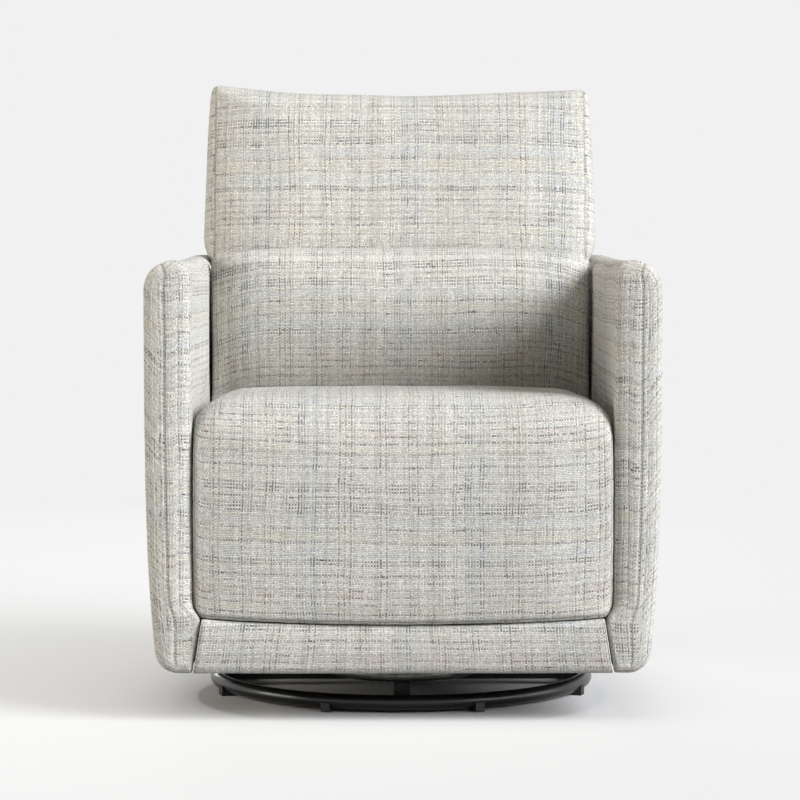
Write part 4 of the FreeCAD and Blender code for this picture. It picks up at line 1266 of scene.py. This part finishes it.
# Outside back, a thin pad over the rear of the frame
outside = {
    "counts": (60, 8),
    "rings": 64,
    "half": 0.2875,
    "front": 0.2822,
    "rear": 0.2955,
    "low": 0.3480,
    "top": 0.9060,
    "corner": 0.020,
    "edge": 0.0062,
    "crown": 0.002,
    "thin": 0.006,            # at the ends
    "clothStart": (0.02, 0.10),
    "sewing": (0.0004, 0.0020, 0.0010),
    "fill": 0.6,
    "seed": 29,
}


def outsideSection(s):
    corner = outside["corner"]
    into = max(0.0, abs(s * outside["half"]) - outside["half"] + corner)
    top = outside["top"] - corner + math.sqrt(max(0.0, corner ** 2 - into ** 2))
    thin = outside["thin"] * abs(s) ** 40
    edge = outside["edge"] - thin * 0.6
    rear = outside["rear"] - thin
    return [(outside["front"], outside["low"], 0.002, 0.0), (outside["front"], top, 0.002, 0.0),
            (rear, top, edge, outside["crown"]), (rear, outside["low"], edge, 0.0)]


def makeOutside():
    tall, wide = outside["counts"]
    rings, flats = loftAcross(outside, outsideSection, [0, 1, 2, 3], lambda s, flat: s * outside["half"])
    rings = lean(rings)
    size = rings.shape[1]
    panels = [(0, size, *outside["clothStart"], -1, False)]
    caps = [[(0, wide, 0.0, 0.0, 1)]] * 2
    piece, _ = buildSlab("outside_back_cover", rings, flats, outside["counts"], panels, caps, flatCap)
    edge = [i * size + tall + wide for i in range(len(rings))]
    cover(piece, "outside_back", outside, [edge], outside["seed"])


makeOutside()


# Stitches along the sewn seams
def stitchTree():
    tree = bpy.data.node_groups.new("seamStitches", "GeometryNodeTree")
    sockets = tree.interface
    sockets.new_socket("Seams", in_out="INPUT", socket_type="NodeSocketGeometry")
    for name in ("Pitch", "Length", "Radius", "Slant"):
        sockets.new_socket(name, in_out="INPUT", socket_type="NodeSocketFloat")
    sockets.new_socket("Thread", in_out="INPUT", socket_type="NodeSocketMaterial")
    sockets.new_socket("Stitches", in_out="OUTPUT", socket_type="NodeSocketGeometry")
    given = addNode(tree, "NodeGroupInput").outputs
    line = addNode(tree, "GeometryNodeMeshToCurve", {"Mesh": given["Seams"]}).outputs[0]
    pitch = {"Curve": line, "Length": given["Pitch"]}
    even = addNode(tree, "GeometryNodeResampleCurve", pitch, mode="LENGTH").outputs[0]
    tangent = addNode(tree, "GeometryNodeInputTangent").outputs[0]
    turn = addNode(tree, "FunctionNodeAlignRotationToVector", {"Vector": tangent}, axis="X").outputs[0]
    loose = addNode(tree, "FunctionNodeRandomValue", {"Min": 0.6, "Max": 1.2, "Seed": 5}, data_type="FLOAT")
    angle = times(tree, given["Slant"], loose.outputs[1])
    twist = addNode(tree, "ShaderNodeCombineXYZ", {"Z": angle}).outputs[0]
    turned = {"Rotation": turn, "Rotate By": twist}
    slant = addNode(tree, "FunctionNodeRotateRotation", turned, rotation_space="LOCAL").outputs[0]
    ball = addNode(tree, "GeometryNodeMeshUVSphere", {"Segments": 6, "Rings": 5, "Radius": 0.5}).outputs[0]
    wide = times(tree, given["Radius"], 2.0)
    size = addNode(tree, "ShaderNodeCombineXYZ", (given["Length"], wide, wide)).outputs[0]
    sewn = {"Points": even, "Instance": ball, "Rotation": slant, "Scale": size}
    placed = addNode(tree, "GeometryNodeInstanceOnPoints", sewn).outputs[0]
    real = addNode(tree, "GeometryNodeRealizeInstances", {"Geometry": placed}).outputs[0]
    dyed = addNode(tree, "GeometryNodeSetMaterial", {"Geometry": real, "Material": given["Thread"]})
    addNode(tree, "NodeGroupOutput", (dyed.outputs[0],))
    return tree


def makeStitches():
    points = np.vstack(stitchRuns)
    edges = []
    start = 0
    for run in stitchRuns:
        edges += [(start + k, start + k + 1) for k in range(len(run) - 1)]
        start += len(run)
    lines = bpy.data.meshes.new("seam_lines")
    lines.from_pydata(points.tolist(), edges, [])
    piece = bpy.data.objects.new("seam_stitches", lines)
    scene.collection.objects.link(piece)
    tree = stitchTree()
    sewing = piece.modifiers.new("sewing", "NODES")
    sewing.node_group = tree
    values = {"Pitch": stitch["pitch"], "Length": stitch["length"], "Radius": stitch["radius"],
              "Slant": stitch["slant"], "Thread": sewingThread}
    for item in tree.interface.items_tree:
        if item.name in values:
            sewing[item.identifier] = values[item.name]
    graph = bpy.context.evaluated_depsgraph_get()
    sewn = bpy.data.meshes.new_from_object(piece.evaluated_get(graph))
    piece.modifiers.remove(sewing)
    piece.data = sewn
    sewn.shade_smooth()
    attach(piece, "seat_unit")
    print("stitches sewn,", len(sewn.polygons), "faces")


makeStitches()


def seenRays(tree):
    path = addNode(tree, "ShaderNodeLightPath").outputs
    mirrored = calc(tree, "MAXIMUM", path["Is Glossy Ray"], path["Is Transmission Ray"])
    return calc(tree, "MAXIMUM", path["Is Camera Ray"], mirrored)


def makeWorld():
    world = bpy.data.worlds.new("studio")
    scene.world = world
    world.use_nodes = True
    tree = world.node_tree
    tree.nodes.clear()
    dim = addNode(tree, "ShaderNodeBackground", (studio["ambientTint"], studio["ambient"])).outputs[0]
    pale = addNode(tree, "ShaderNodeBackground", (studio["backdrop"], 1.0)).outputs[0]
    mixed = addNode(tree, "ShaderNodeMixShader", (seenRays(tree), dim, pale)).outputs[0]
    addNode(tree, "ShaderNodeOutputWorld", (mixed,))


def makeLamps():
    sun = bpy.data.lights.new("key", "SUN")
    sun.energy = studio["sun"]["strength"]
    sun.angle = studio["sun"]["angle"]
    sun.color = studio["sun"]["tint"]
    key = bpy.data.objects.new("key", sun)
    key.rotation_euler = (-Vector(studio["sun"]["from"])).to_track_quat("-Z", "Y").to_euler()
    scene.collection.objects.link(key)
    for name, place, width, height, watts, aim, colour in studio["lamps"]:
        data = bpy.data.lights.new(name, "AREA")
        data.shape = "RECTANGLE"
        data.size = width
        data.size_y = height
        data.energy = watts
        data.color = colour
        lamp = bpy.data.objects.new(name, data)
        lamp.location = place
        lamp.visible_camera = False
        lamp.rotation_euler = (Vector(aim) - Vector(place)).to_track_quat("-Z", "Y").to_euler()
        scene.collection.objects.link(lamp)


def makeFloor():
    half = studio["floorHalf"]
    mesh = bpy.data.meshes.new("paper_floor")
    corners = [(-half, -half, 0), (half, -half, 0), (half, half, 0), (-half, half, 0)]
    mesh.from_pydata(corners, [], [(0, 1, 2, 3)])
    material, tree, shader = newMaterial("studioPaper")
    seen = seenRays(tree)
    colour = mixColour(tree, seen, studio["paperBounce"], studio["paper"])
    setInputs(tree, shader, {"Base Color": colour, "Roughness": 0.9, "Specular IOR Level": 0.1})
    spot = (objectPoint(tree), studio["fadeCentre"])
    away = addNode(tree, "ShaderNodeVectorMath", spot, operation="DISTANCE").outputs["Value"]
    near, far, power = studio["fade"]
    share = calc(tree, "POWER", remap(tree, away, near, far, 0.0, 1.0), power)
    # painted glow over the lit paper, growing with distance from the chair, seen only by camera and mirror
    # rays
    glow = addNode(tree, "ShaderNodeEmission", (studio["backdrop"], 1.0)).outputs[0]
    mixed = (times(tree, seen, share), shader.outputs[0], glow)
    faded = addNode(tree, "ShaderNodeMixShader", mixed).outputs[0]
    tree.links.new(faded, tree.nodes["Material Output"].inputs[0])
    mesh.materials.append(material)
    floor = bpy.data.objects.new("paper_floor", mesh)
    scene.collection.objects.link(floor)


makeWorld()
makeLamps()
makeFloor()
scene.view_settings.view_transform = "Standard"
print("studio set")
